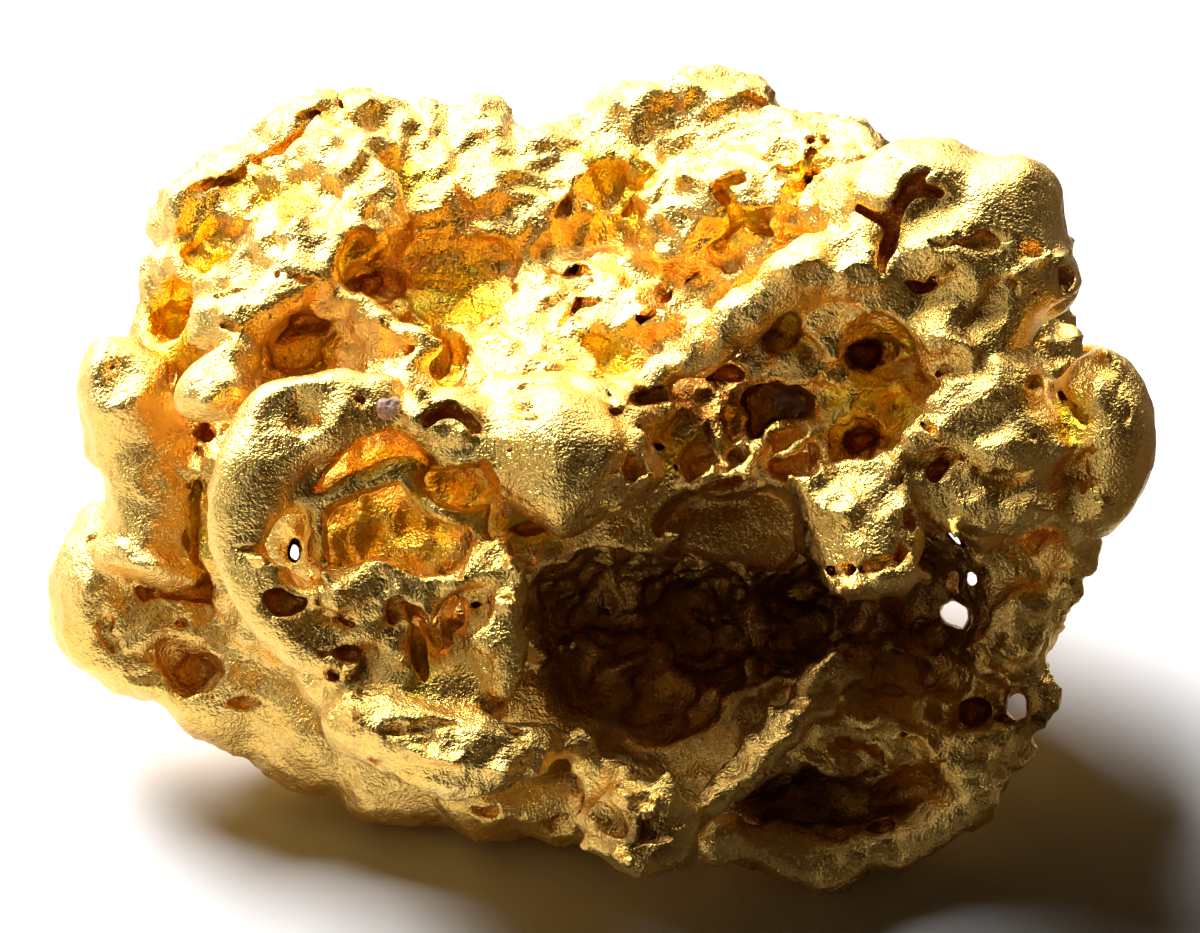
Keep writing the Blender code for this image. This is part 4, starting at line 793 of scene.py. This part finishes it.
flats += [
    ((2.84, -6.24), 0.52, 0.16), ((2.3, -6.8), 0.4, 0.12), ((3.5, -5.72), 0.36, 0.1),
    ((2.8, -6.12), 0.44, 0.08), ((2.3, -6.58), 0.28, 0.05), ((3.72, -4.52), 0.16, 0.03),
    ((4.1, -4.32), 0.16, 0.03), ((0.28, -6.64), 0.18, 0.04), ((3.3, -5.68), 0.28, 0.05),
    ((1.2, -7.92), 0.24, 0.04),
]


# ---- Melting into one skin ---------------------------------------------------------------
# All swellings are one metal with one skin. It is fused, eaten away, dented all over as
# river stones dent it, and its lowest point is rubbed flat where it rests.
VOXEL = 0.11               # grain of the fused skin
RELIEF_VOXEL = 0.09        # grain once the fine relief is on it
FOLD_VOXEL = 0.085         # grain once it is crumpled
PIT_VOXEL = 0.07           # grain of what is eaten into it
FLAT_DEPTH = 0.60          # what is rubbed off the underside
FACETS = 188000            # faces of the finished skin
DENTS = [(2.6, 0.8)]       # size and depth
SMALL_DENTS = [(1.0, 0.5)]
# Where rubbing has left the skin smooth: centre, half sizes, and the share of denting left.
SMOOTH = [
    ((-6.2, 0.2, -0.9), (2.2, 2.0, 1.8), 0.12), ((-6.9, -2.0, -0.9), (1.1, 2.4, 1.6), 0.12),
    ((-0.9, 0.0, -0.9), (2.0, 2.0, 1.9), 0.15), ((-7.7, 1.2, -2.4), (1.3, 1.2, 1.5), 0.20),
    ((8.0, 4.5, -3.0), (3.0, 2.6, 2.8), 0.20), ((10.2, 0.3, -2.8), (1.6, 2.4, 2.2), 0.15),
    ((-3.6, -5.3, -1.6), (3.0, 1.2, 1.8), 0.30), ((-9.8, -2.7, -6.0), (1.8, 2.6, 2.4), 0.25),
    ((-9.7, 1.2, -5.2), (1.5, 1.6, 2.0), 0.25), ((-5.2, -4.0, -0.8), (1.6, 0.7, 1.0), 0.40),
    ((8.0, 0.2, -2.4), (2.2, 2.0, 2.0), 0.50), ((1.4, 1.9, -2.2), (1.4, 0.9, 1.6), 0.40),
    ((3.2, 3.1, -2.6), (1.5, 1.0, 1.7), 0.40), ((5.3, -1.9, -1.8), (1.4, 1.2, 1.2), 0.60),
    ((-4.0, -6.0, -5.0), (7.0, 2.2, 3.5), 0.40), ((4.5, -8.0, -5.0), (4.5, 1.2, 3.0), 0.55),
]


def distance_in(spot, centre, sizes):
    """The square of how far a spot is from a centre, counted in half sizes."""
    return sum(((spot[axis] - centre[axis]) / sizes[axis]) ** 2 for axis in range(3))


def weigh(item, share=None):
    """How far the skin is dented: little where it is rubbed, most on the far plateau."""
    group = item.vertex_groups.new(name="rough")
    for vertex in item.data.vertices:
        weight = share
        if share is None:
            spot = SHOW_FACE.inverted() @ vertex.co
            weight = 0.65 + 0.35 * min(1.0, max(0.0, (-spot.z - 2.0) / 2.0))
            for centre, sizes, left in SMOOTH:
                weight = min(weight, left + max(0.0, distance_in(spot, centre, sizes) - 0.8))
        group.add([vertex.index], weight, "REPLACE")


def put_in_scene(name, mesh):
    """An object of the scene from a bmesh."""
    data = bpy.data.meshes.new(name)
    mesh.to_mesh(data)
    mesh.free()
    item = bpy.data.objects.new(name, data)
    bpy.context.scene.collection.objects.link(item)
    return item


def apply_modifiers(item):
    """Keep what the modifiers make of the object, and drop them."""
    graph = bpy.context.evaluated_depsgraph_get()
    shaped = bpy.data.meshes.new_from_object(item.evaluated_get(graph))
    item.modifiers.clear()
    item.data = shaped


def fuse(item, grain, smoothing):
    """Melt overlapping shapes into one skin, and round its creases."""
    remesh = item.modifiers.new("fuse", "REMESH")
    remesh.mode = "VOXEL"
    remesh.voxel_size = grain
    if smoothing:
        smooth = item.modifiers.new("round", "SMOOTH")
        smooth.iterations = smoothing
    apply_modifiers(item)


def combine(item, other, operation):
    """Join the other object to this one or cut it away, and drop the other."""
    boolean = item.modifiers.new("combine", "BOOLEAN")
    boolean.operation = operation
    boolean.solver = "MANIFOLD"
    boolean.object = other
    apply_modifiers(item)
    bpy.data.objects.remove(other)


def push(item, texture, direction, strength, group):
    """Have the skin pushed in and out by a texture."""
    displace = item.modifiers.new(texture.name, "DISPLACE")
    displace.texture = texture
    displace.texture_coords = "LOCAL"
    displace.direction = direction
    displace.strength = strength
    displace.vertex_group = group


def dent(item, dents, group=""):
    """Push the skin about by soft noise, for each size and depth of dents."""
    for size, depth in dents:
        clouds = bpy.data.textures.new("dents", "CLOUDS")
        clouds.noise_scale = size
        clouds.cloud_type = "COLOR"
        push(item, clouds, "RGB_TO_XYZ", depth, group)
    apply_modifiers(item)


nugget = put_in_scene("nugget_of_gold", gold)
fuse(nugget, VOXEL, 2)
hollow_tool = put_in_scene("hollow_tool", hollows)
fuse(hollow_tool, VOXEL, 2)
combine(nugget, hollow_tool, "DIFFERENCE")
front_tool = put_in_scene("front_tool", front)
fuse(front_tool, VOXEL, 2)
combine(nugget, front_tool, "UNION")
cut_tool = put_in_scene("cut_tool", cuts)
fuse(cut_tool, VOXEL, 0)
combine(nugget, cut_tool, "DIFFERENCE")
fuse(nugget, VOXEL, 1)
dent(nugget, DENTS)
weigh(nugget)
dent(nugget, SMALL_DENTS, "rough")
nugget.vertex_groups.clear()

# Fine relief is laid on the dented skin, where it shows from the front.
EYE = Vector((-0.03, 0.2, 495.55))      # where the show face is looked at from
AIM_DEPTH = -4.45                       # the plane that places of the show face are read on
BURIED = 0.35                           # how much of a knob's depth is under the skin
MOUTH_RISE = 0.7                        # how far a pocket's mouth follows the skin, or clears it
skin_tree = BVHTree.FromObject(nugget, bpy.context.evaluated_depsgraph_get())
to_ground = SHOW_FACE.to_3x3()
to_face = SHOW_FACE.inverted()


def on_skin(across, up):
    """The point of the skin that shows at a place of the show face."""
    start = SHOW_FACE @ EYE
    aim = SHOW_FACE @ Vector((across + EYE.x, up + EYE.y, AIM_DEPTH))
    hit = skin_tree.ray_cast(start, (aim - start).normalized())[0]
    return to_face @ (hit or aim)


def in_sight(across, up, out):
    """The point at a given depth that shows at a place of the show face."""
    aim = Vector((across + EYE.x, up + EYE.y, AIM_DEPTH))
    return EYE + (aim - EYE) * ((EYE.z - out) / (EYE.z - aim.z))


def lay_balls(mesh, rows, bury):
    """Lumps or pits centred on the skin or lifted off it, and buried by a share of their depth."""
    for (across, up, *lift), sizes, *roll in rows:
        spot = on_skin(across, up) + Vector((0.0, 0.0, sum(lift) - sizes[2] * bury))
        add_ball(mesh, SHOW_FACE, spot, sizes, *roll)


def lay_ropes(mesh, rows, deep=1.0):
    """Ropes that follow the skin; a bead lifted off it has its lift before its radius."""
    for _, beads in rows:
        laid = []
        for across, up, *lift, radius in beads:
            spot = on_skin(across, up)
            laid.append((spot.x, spot.y, spot.z + sum(lift), radius))
        add_rope(mesh, SHOW_FACE, laid, deep)


def lay_pockets(mesh, rows):
    """Pockets: a name, a depth, how narrow the floor is, and the mouth's outline."""
    for _, depth, taper, mouth in rows:
        heights = sorted(on_skin(across, up).z for across, up in mouth)
        level = heights[len(heights) // 2]
        middle = Vector([sum(spot[axis] for spot in mouth) for axis in range(2)]) / len(mouth)
        rings = []
        for share, narrow in ((-MOUTH_RISE / depth, 1.0), (0.35, 1.0),
                              (0.75, 0.5 + taper / 2), (1.0, taper)):
            ring = []
            for across, up in mouth:
                skin = on_skin(across, up).z
                skin = min(level + MOUTH_RISE, max(level - MOUTH_RISE, skin))
                out = skin + (level - skin) * max(0.0, share) - depth * share
                flat = middle + (Vector((across, up)) - middle) * narrow
                spot = in_sight(flat.x, flat.y, out)
                ring.append(mesh.verts.new(SHOW_FACE @ spot))
            rings.append(ring)
        mesh.faces.new(rings[0])
        for upper, lower in zip(rings, rings[1:]):
            for index in range(len(mouth)):
                following = (index + 1) % len(mouth)
                mesh.faces.new((upper[index], lower[index], lower[following], upper[following]))
        mesh.faces.new(reversed(rings[-1]))


relief = bmesh.new()
lay_balls(relief, knobs, BURIED)
lay_ropes(relief, ridges)
for _, beads in bridges:
    placed = [(*in_sight(across, up, out), radius) for across, up, out, radius in beads]
    add_rope(relief, SHOW_FACE, placed)
relief.from_mesh(nugget.data)
relief.to_mesh(nugget.data)
relief.free()
fuse(nugget, RELIEF_VOXEL, 1)

# Flats are hammered into the skin, all turned the same way, and fade out at their edges.
FULL = 0.8      # how far out a flat is full, in its radii
FADE = 0.7      # how much further it fades out
FILL = 0.5      # how much of a dip under a flat is filled
mesh = bmesh.new()
mesh.from_mesh(nugget.data)
mesh.verts.ensure_lookup_table()
near = KDTree(len(mesh.verts))
for vertex in mesh.verts:
    near.insert(vertex.co, vertex.index)
near.balance()
skin_tree = BVHTree.FromBMesh(mesh)
bright = (to_ground @ Vector((-0.30, 0.55, 0.78))).normalized()
for (across, up), radius, sink in flats:
    centre = SHOW_FACE @ on_skin(across, up)
    level = centre - bright * sink
    for _, index, distance in near.find_range(centre, radius * (FULL + FADE)):
        height = (mesh.verts[index].co - level).dot(bright)
        along = distance / radius
        fade = 1.0 if along < FULL else max(0.0, 1.0 - (along - FULL) / FADE)
        if height > 0.0:
            mesh.verts[index].co -= bright * height * fade
        else:
            mesh.verts[index].co -= bright * height * fade * FILL
mesh.to_mesh(nugget.data)
mesh.free()


def crumple(item, share=None):
    """Fine folds and pebbles of the skin, smaller than the dents."""
    clouds = bpy.data.textures.new("ripples", "CLOUDS")
    clouds.noise_scale = 0.5
    clouds.cloud_type = "COLOR"
    folds = bpy.data.textures.new("folds", "MUSGRAVE")
    folds.musgrave_type = "RIDGED_MULTIFRACTAL"
    folds.noise_scale = 0.55
    folds.octaves = 3.0
    pebbles = bpy.data.textures.new("pebbles", "VORONOI")
    pebbles.noise_scale = 0.32
    pebbles.weight_1 = -1.0
    pebbles.weight_2 = 1.0
    grains = bpy.data.textures.new("grains", "CLOUDS")
    grains.noise_scale = 0.17
    grains.noise_depth = 1
    weigh(item, share)
    push(item, clouds, "RGB_TO_XYZ", 0.19, "rough")
    push(item, folds, "NORMAL", 0.15, "rough")
    push(item, pebbles, "NORMAL", 0.16, "rough")
    push(item, grains, "NORMAL", 0.12, "rough")
    apply_modifiers(item)


crumple(nugget)
fuse(nugget, FOLD_VOXEL, 0)
skin_tree = BVHTree.FromObject(nugget, bpy.context.evaluated_depsgraph_get())
ball_mesh = bmesh.new()
lay_balls(ball_mesh, pits, 0.0)
lay_ropes(ball_mesh, grooves, 2.0)
pit_balls = put_in_scene("pit_balls", ball_mesh)
dent(pit_balls, [(0.5, 0.4), (0.22, 0.16)])
pit_mesh = bmesh.new()
lay_pockets(pit_mesh, pockets)
bmesh.ops.triangulate(pit_mesh, faces=[face for face in pit_mesh.faces if len(face.verts) > 3])
bmesh.ops.recalc_face_normals(pit_mesh, faces=pit_mesh.faces)
pit_mesh.from_mesh(pit_balls.data)
bpy.data.objects.remove(pit_balls)
pit_tool = put_in_scene("pit_tool", pit_mesh)
fuse(pit_tool, PIT_VOXEL, 1)
crumple(pit_tool, 0.45)
fuse(pit_tool, PIT_VOXEL, 0)
combine(nugget, pit_tool, "DIFFERENCE")

# Crumbs that the pits have cut loose are dropped, and the skin is thinned.
mesh = bmesh.new()
mesh.from_mesh(nugget.data)
unseen = set(mesh.verts)
pieces = []
while unseen:
    piece = set()
    reached = [unseen.pop()]
    while reached:
        vertex = reached.pop()
        piece.add(vertex)
        for edge in vertex.link_edges:
            neighbour = edge.other_vert(vertex)
            if neighbour in unseen:
                unseen.remove(neighbour)
                reached.append(neighbour)
    pieces.append(piece)
pieces.sort(key=len)
for piece in pieces[:-1]:
    bmesh.ops.delete(mesh, geom=list(piece), context="VERTS")
mesh.to_mesh(nugget.data)
mesh.free()
nugget.data.calc_loop_triangles()
thin = nugget.modifiers.new("thin", "DECIMATE")
thin.ratio = FACETS / len(nugget.data.loop_triangles)
apply_modifiers(nugget)

# The underside is rubbed flat, and the whole is settled into its measured box.
mesh = bmesh.new()
mesh.from_mesh(nugget.data)
lowest = min(vertex.co.z for vertex in mesh.verts)
cut = bmesh.ops.bisect_plane(mesh, geom=[*mesh.verts, *mesh.edges, *mesh.faces],
                             plane_co=(0.0, 0.0, lowest + FLAT_DEPTH), plane_no=(0.0, 0.0, 1.0),
                             clear_inner=True)
rim = [part for part in cut["geom_cut"] if isinstance(part, bmesh.types.BMEdge)]
bmesh.ops.holes_fill(mesh, edges=rim)
bmesh.ops.triangulate(mesh, faces=mesh.faces)
mesh.to_mesh(nugget.data)
mesh.free()

low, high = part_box("gold_nugget")
spots = [vertex.co for vertex in nugget.data.vertices]
found_low = Vector([min(spot[axis] for spot in spots) for axis in range(3)])
found_high = Vector([max(spot[axis] for spot in spots) for axis in range(3)])
stretch = [(high[axis] - low[axis]) / (found_high[axis] - found_low[axis]) for axis in range(3)]
SETTLE = (Matrix.Translation(low) @ Matrix.Diagonal((*stretch, 1.0))
          @ Matrix.Translation(-found_low))


def settle(item):
    """Bring a shaped piece from millimetres to its resting place, smoothly shaded."""
    item.data.transform(SETTLE)
    for face in item.data.polygons:
        face.use_smooth = True


settle(nugget)

# How open each spot of the skin is, how much of it is painted dark as shade, and how strongly it is
# painted with the amber glow of reflecting pocket walls.
RAYS = 14               # looks taken from each spot
REACH = 0.003           # how far each look goes, in metres
OFF_SKIN = 0.00003      # where it starts
# Where pocket walls reflect each other, painted in as an amber glow (painted reflection), and where
# the cavern and web pockets are painted dark brown (painted shade): centre and half sizes, on the show
# face.
PAINTED_GLOW_PLACES = [
    ((-4.6, -1.65, -2.2), (2.0, 0.95, 2.6)), ((-4.5, -0.1, -1.7), (1.4, 0.6, 2.0)),
    ((-3.1, -0.85, -1.8), (1.1, 0.7, 2.0)), ((-6.2, 2.1, -3.8), (1.0, 0.9, 2.0)),
    ((-8.4, 2.6, -6.0), (1.2, 0.9, 2.0)), ((-8.2, 4.0, -6.6), (0.6, 1.0, 2.0)),
    ((-5.0, 3.6, -5.0), (0.8, 1.1, 2.0)), ((-3.0, 2.9, -5.5), (1.3, 1.3, 2.4)),
    ((-3.4, 1.9, -4.5), (0.6, 1.0, 2.4)), ((0.0, 2.0, -4.0), (1.0, 0.6, 1.4)),
    ((0.0, 6.0, -7.5), (0.9, 0.6, 2.0)), ((2.6, 4.9, -5.5), (0.6, 0.9, 2.0)),
    ((0.8, 5.2, -6.5), (0.5, 0.9, 2.0)), ((5.4, 0.9, -3.2), (1.0, 0.8, 1.2)),
    ((6.1, 2.4, -3.2), (1.2, 0.5, 1.2)), ((-3.7, -4.1, -1.2), (0.4, 1.1, 1.2)),
    ((-8.1, -1.4, -4.8), (0.35, 1.2, 1.4)), ((-1.6, -1.6, -1.8), (1.0, 0.4, 1.4)),
    ((8.8, 2.3, -3.4), (0.6, 0.7, 1.2)), ((9.5, 0.7, -2.4), (0.5, 0.8, 1.0)),
    ((-5.4, 5.6, -7.2), (2.6, 0.5, 1.6)), ((-6.2, 5.2, -6.4), (0.9, 0.4, 1.4)),
    ((3.8, 2.4, -3.4), (0.5, 0.5, 1.2)), ((4.2, 5.6, -5.0), (0.5, 0.7, 1.6)),
    ((1.3, 0.4, -2.4), (1.0, 0.9, 1.0)),
]
# Painted shade: places where the gold is painted dark brown, the cavern and the web pockets.
PAINTED_SHADE_PLACES = [
    ((0.3, -3.6, -4.0), (2.1, 2.3, 3.2)), ((2.4, -3.6, -4.5), (2.4, 2.3, 3.4)),
    ((4.6, -3.2, -4.8), (2.4, 1.8, 3.2)), ((6.4, -2.9, -5.2), (1.8, 1.7, 2.6)),
    ((4.3, -7.0, -4.6), (2.3, 0.8, 1.8)), ((3.2, 0.9, -4.2), (1.1, 0.7, 0.9)),
    ((5.2, 1.7, -4.2), (0.5, 0.4, 0.8)), ((2.2, 1.4, -3.6), (1.6, 0.5, 0.9)),
    ((2.6, -1.2, -3.4), (1.7, 0.8, 2.0)), ((2.3, 2.2, -2.8), (1.8, 0.5, 1.0)),
    ((2.2, 0.9, -2.9), (2.0, 0.6, 1.0)), ((3.0, -1.4, -3.2), (2.4, 0.9, 1.8)),
    ((8.6, -5.2, -5.0), (0.8, 0.6, 1.2)), ((0.8, -7.6, -1.6), (0.8, 0.6, 1.2)),
]


def depth_in(spot, places, edge, width):
    """How deep a spot is in the nearest of some places, from 0 at the edge to 1 inside it."""
    depth = 0.0
    for centre, sizes in places:
        away = math.sqrt(distance_in(spot, centre, sizes))
        depth = max(depth, min(1.0, (edge - away) / width))
    return depth


mesh = nugget.data
tree = BVHTree.FromObject(nugget, bpy.context.evaluated_depsgraph_get())
rays = []
golden = math.pi * (3.0 - math.sqrt(5.0))
for index in range(RAYS):
    up = 1.0 - (index + 0.5) / RAYS
    side = math.sqrt(1.0 - up * up)
    rays.append(Vector((side * math.cos(golden * index), side * math.sin(golden * index), up)))
openness = []
painted_shade = []
painted_glow = []
unsettle = SETTLE.inverted()
for vertex in mesh.vertices:
    normal = vertex.normal
    turn = normal.to_track_quat("Z", "Y")
    start = vertex.co + normal * OFF_SKIN
    free = 0.0
    for ray in rays:
        hit = tree.ray_cast(start, turn @ ray, REACH)
        if hit[0] is None:
            free += 1.0
        else:
            free += (hit[3] / REACH) ** 0.7
    openness.append(free / len(rays))
    spot = to_face @ (unsettle @ vertex.co)
    # Painted shade: how dark the cavern and web pockets are painted.
    painted_shade.append(depth_in(spot, PAINTED_SHADE_PLACES, 1.30, 0.8))
    # Painted reflection: the amber glow of pocket walls, only where the skin is closed in.
    closed = min(1.0, max(0.0, (0.96 - openness[-1]) / 0.30))
    painted_glow.append(depth_in(spot, PAINTED_GLOW_PLACES, 1.15, 0.4) * closed)
for label, values in (("openness", openness), ("painted_shade", painted_shade), ("painted_glow", painted_glow)):
    attribute = mesh.attributes.new(label, "FLOAT", "POINT")
    attribute.data.foreach_set("value", values)

skin = bpy.data.materials.new("native_gold")
skin.use_nodes = True
nodes = skin.node_tree.nodes
links = skin.node_tree.links
shader = nodes["Principled BSDF"]
shader.inputs["Metallic"].default_value = 1.0
place = nodes.new("ShaderNodeTexCoord")
scale = nodes.new("ShaderNodeMapping")
scale.inputs["Scale"].default_value = (1000.0, 1000.0, 1000.0)
links.new(place.outputs["Object"], scale.inputs["Vector"])


def noise(size, detail, roughness):
    """Noise of a given size in millimetres, over the whole object."""
    texture = nodes.new("ShaderNodeTexNoise")
    texture.inputs["Scale"].default_value = 1.0 / size
    texture.inputs["Detail"].default_value = detail
    texture.inputs["Roughness"].default_value = roughness
    links.new(scale.outputs["Vector"], texture.inputs["Vector"])
    return texture.outputs["Fac"]


def ramp(value, *stops):
    """A colour ramp over a value."""
    node = nodes.new("ShaderNodeValToRGB")
    node.color_ramp.elements[0].position = stops[0][0]
    node.color_ramp.elements[0].color = (*stops[0][1], 1.0)
    node.color_ramp.elements[1].position = stops[-1][0]
    node.color_ramp.elements[1].color = (*stops[-1][1], 1.0)
    for position, colour in stops[1:-1]:
        node.color_ramp.elements.new(position).color = (*colour, 1.0)
    links.new(value, node.inputs["Fac"])
    return node.outputs["Color"]


def mixed(share, first, second):
    """Two colours mixed by a share."""
    node = nodes.new("ShaderNodeMix")
    node.data_type = "RGBA"
    links.new(share, node.inputs["Factor"])
    links.new(first, node.inputs["A"])
    links.new(second, node.inputs["B"])
    return node.outputs["Result"]


def attribute_value(label):
    """A value kept on the skin."""
    node = nodes.new("ShaderNodeAttribute")
    node.attribute_name = label
    return node.outputs["Fac"]


def reckon(kind, first, second):
    """One sum of two values; a value may be a socket or a number."""
    node = nodes.new("ShaderNodeMath")
    node.operation = kind
    for index, value in enumerate((first, second)):
        if isinstance(value, float):
            node.inputs[index].default_value = value
        else:
            links.new(value, node.inputs[index])
    return node.outputs["Value"]


# Painted shade darkens the hollows and the cavern, painted reflection glows amber in pockets, and open
# gold is paler where worn.
patches = noise(1.6, 3.0, 0.6)
specks = noise(0.35, 4.0, 0.65)
# Painted shade: closed-in hollows are painted darker and deeper orange than open gold.
hollow_shade_tone = ramp(attribute_value("openness"), (0.10, (0.70, 0.28, 0.025)),
                 (0.45, (0.91, 0.49, 0.085)), (0.80, (0.95, 0.59, 0.13)))
worn = ramp(patches, (0.35, (0.92, 0.59, 0.14)), (0.65, (1.0, 0.72, 0.25)))
gold_tone = mixed(reckon("MULTIPLY", attribute_value("openness"), 0.45), hollow_shade_tone, worn)
# Painted reflection: an amber glow where pocket walls reflect each other.
glow_tone = ramp(noise(0.9, 2.0, 0.5), (0.38, (0.98, 0.47, 0.012)), (0.62, (1.0, 0.74, 0.06)))
gold_tone = mixed(attribute_value("painted_glow"), gold_tone, glow_tone)
# Painted shade: the cavern and the web pockets are painted dark brown.
shade_tone = ramp(specks, (0.35, (0.07, 0.022, 0.004)), (0.70, (0.46, 0.19, 0.03)))
shade_share = reckon("MULTIPLY", attribute_value("painted_shade"), 0.80)
links.new(mixed(shade_share, gold_tone, shade_tone), shader.inputs["Base Color"])
rough = ramp(noise(0.3, 3.0, 0.6), (0.3, (0.24, 0.24, 0.24)), (0.7, (0.39, 0.39, 0.39)))
links.new(rough, shader.inputs["Roughness"])
height = reckon("ADD", reckon("MULTIPLY", noise(0.055, 1.5, 0.6), 0.55),
                reckon("MULTIPLY", noise(0.15, 2.0, 0.6), 0.8))
bump = nodes.new("ShaderNodeBump")
bump.inputs["Distance"].default_value = 0.000058
bump.inputs["Strength"].default_value = 1.0
links.new(height, bump.inputs["Height"])
links.new(bump.outputs["Normal"], shader.inputs["Normal"])
nugget.data.materials.clear()
nugget.data.materials.append(skin)
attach(nugget, "root")
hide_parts("gold_nugget")


# ---- The quartz --------------------------------------------------------------------------
# Two grains of milky quartz are left in the pockets that the gold grew round.
# They are see-through, hazed inside and dented, and the gold about them holds them fast.
QUARTZ_GRAINS = [
    ("quartz_grain_saddle", (-4.3, 0.72, -0.02), (0.24, 0.19, 0.24), 20),
    ("quartz_grain_pocket", (3.75, 0.86, -0.72), (0.70, 0.44, 0.42), -12),
]
quartz = bpy.data.materials.new("milky_quartz")
quartz.use_nodes = True
shader = quartz.node_tree.nodes["Principled BSDF"]
shader.inputs["Base Color"].default_value = (0.86, 0.66, 0.58, 1.0)
shader.inputs["Roughness"].default_value = 0.22
shader.inputs["IOR"].default_value = 1.54
shader.inputs["Transmission Weight"].default_value = 0.8
haze = quartz.node_tree.nodes.new("ShaderNodeVolumeAbsorption")
haze.inputs["Color"].default_value = (0.74, 0.44, 0.30, 1.0)
haze.inputs["Density"].default_value = 900.0
surface = quartz.node_tree.nodes["Material Output"]
quartz.node_tree.links.new(haze.outputs["Volume"], surface.inputs["Volume"])
grain_pieces = []
for name, centre, sizes, roll in QUARTZ_GRAINS:
    mesh = bmesh.new()
    spot = on_skin(centre[0], centre[1]) + Vector((0.0, 0.0, centre[2]))
    add_ball(mesh, SHOW_FACE, spot, sizes, roll, fineness=5)
    grain_piece = put_in_scene(name.replace("_grain", ""), mesh)
    dent(grain_piece, [(0.4, 0.22), (0.15, 0.05)])
    settle(grain_piece)
    grain_piece.data.materials.append(quartz)
    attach(grain_piece, "root")
    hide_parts(name)
    grain_pieces.append(grain_piece)


# ---- The table, the light and the camera -------------------------------------------------
# A plain pale table top, one soft lamp high on the left behind, and dim light from the room.
# Dark cards and soft screens out of sight shape what the gold reflects.


def matt(name, colour):
    """A plain matt material for what stands round the nugget."""
    material = bpy.data.materials.new(name)
    material.use_nodes = True
    shader = material.node_tree.nodes["Principled BSDF"]
    shader.inputs["Base Color"].default_value = (*colour, 1.0)
    shader.inputs["Roughness"].default_value = 0.9
    return material


mesh = bmesh.new()
bmesh.ops.create_grid(mesh, x_segments=1, y_segments=1, size=0.6)
table_top = put_in_scene("table_top", mesh)
table_top.data.materials.append(matt("pale_table", (0.74, 0.74, 0.75)))

# Two dark cards, so that the nugget's right and lower front sides reflect no table.
CARD_HEIGHT = 0.0003
felt = matt("dark_card", (0.05, 0.032, 0.018))
for name, left, right, near, far in (("card_right", 0.0135, 0.40, -0.40, 0.40),
                                     ("card_front", 0.000, 0.0135, -0.40, -0.0085)):
    mesh = bmesh.new()
    corners = [(left, near), (right, near), (right, far), (left, far)]
    mesh.faces.new([mesh.verts.new((across, back, CARD_HEIGHT)) for across, back in corners])
    card = put_in_scene(name, mesh)
    card.data.materials.append(felt)
    card.visible_camera = False
    card.visible_shadow = False

lamp = bpy.data.lights.new("lamp", "SUN")
lamp.energy = 8.7
lamp.angle = math.radians(34.0)
lamp_place = bpy.data.objects.new("lamp", lamp)
lamp_place.rotation_euler = Vector((-0.51, 0.68, 0.74)).to_track_quat("Z", "Y").to_euler()
bpy.context.scene.collection.objects.link(lamp_place)

# Two soft screens light only the nugget and its quartz, from the left front and from behind.
SCREEN_DISTANCE = 0.6
lit = bpy.data.collections.new("lit_by_screens")
for piece in (nugget, *grain_pieces):
    lit.objects.link(piece)
for name, towards, width, height, power in (
        ("front_screen", (-0.90, -0.50, 0.60), 0.45, 0.40, 0.34),
        ("back_screen", (-0.15, 0.75, 0.66), 1.30, 0.95, 10.0)):
    screen = bpy.data.lights.new(name, "AREA")
    screen.shape = "RECTANGLE"
    screen.size = width
    screen.size_y = height
    screen.energy = power
    screen_place = bpy.data.objects.new(name, screen)
    screen_place.location = Vector(towards).normalized() * SCREEN_DISTANCE
    screen_place.rotation_euler = Vector(towards).to_track_quat("Z", "Y").to_euler()
    screen_place.visible_camera = False
    screen_place.light_linking.receiver_collection = lit
    bpy.context.scene.collection.objects.link(screen_place)

# The room is dim and warm, a little brighter low down.
world = bpy.data.worlds.new("room")
bpy.context.scene.world = world
world.use_nodes = True
nodes = world.node_tree.nodes
links = world.node_tree.links
around = nodes.new("ShaderNodeTexCoord")
split = nodes.new("ShaderNodeSeparateXYZ")
links.new(around.outputs["Generated"], split.inputs["Vector"])
room = ramp(split.outputs["Z"], (0.0, (0.050, 0.033, 0.017)), (0.35, (0.016, 0.010, 0.005)))
links.new(room, nodes["Background"].inputs["Color"])
nodes["Background"].inputs["Strength"].default_value = 1.0

bpy.context.scene.view_settings.view_transform = "Standard"

# The camera looks down on the nugget from a long way off for its size.
LOOK_DOWN = math.radians(40.0)
AIM_UP = 0.00493           # where it aims, above the table's middle as it sees it
AIM_NEAR = 0.0050          # and towards the eye
CAMERA_DISTANCE = 0.5
towards_eye = Vector((0.0, -math.cos(LOOK_DOWN), math.sin(LOOK_DOWN)))
eye_up = Vector((0.0, math.sin(LOOK_DOWN), math.cos(LOOK_DOWN)))
camera = bpy.data.cameras.new("camera")
camera.sensor_width = 36.0
camera.lens = 750.0
camera.clip_start = 0.01
camera.clip_end = 5.0
camera_place = bpy.data.objects.new("camera", camera)
bpy.context.scene.collection.objects.link(camera_place)
aim = eye_up * AIM_UP + towards_eye * AIM_NEAR
camera_place.location = aim + towards_eye * CAMERA_DISTANCE
camera_place.rotation_euler = towards_eye.to_track_quat("Z", "Y").to_euler()
bpy.context.scene.camera = camera_place
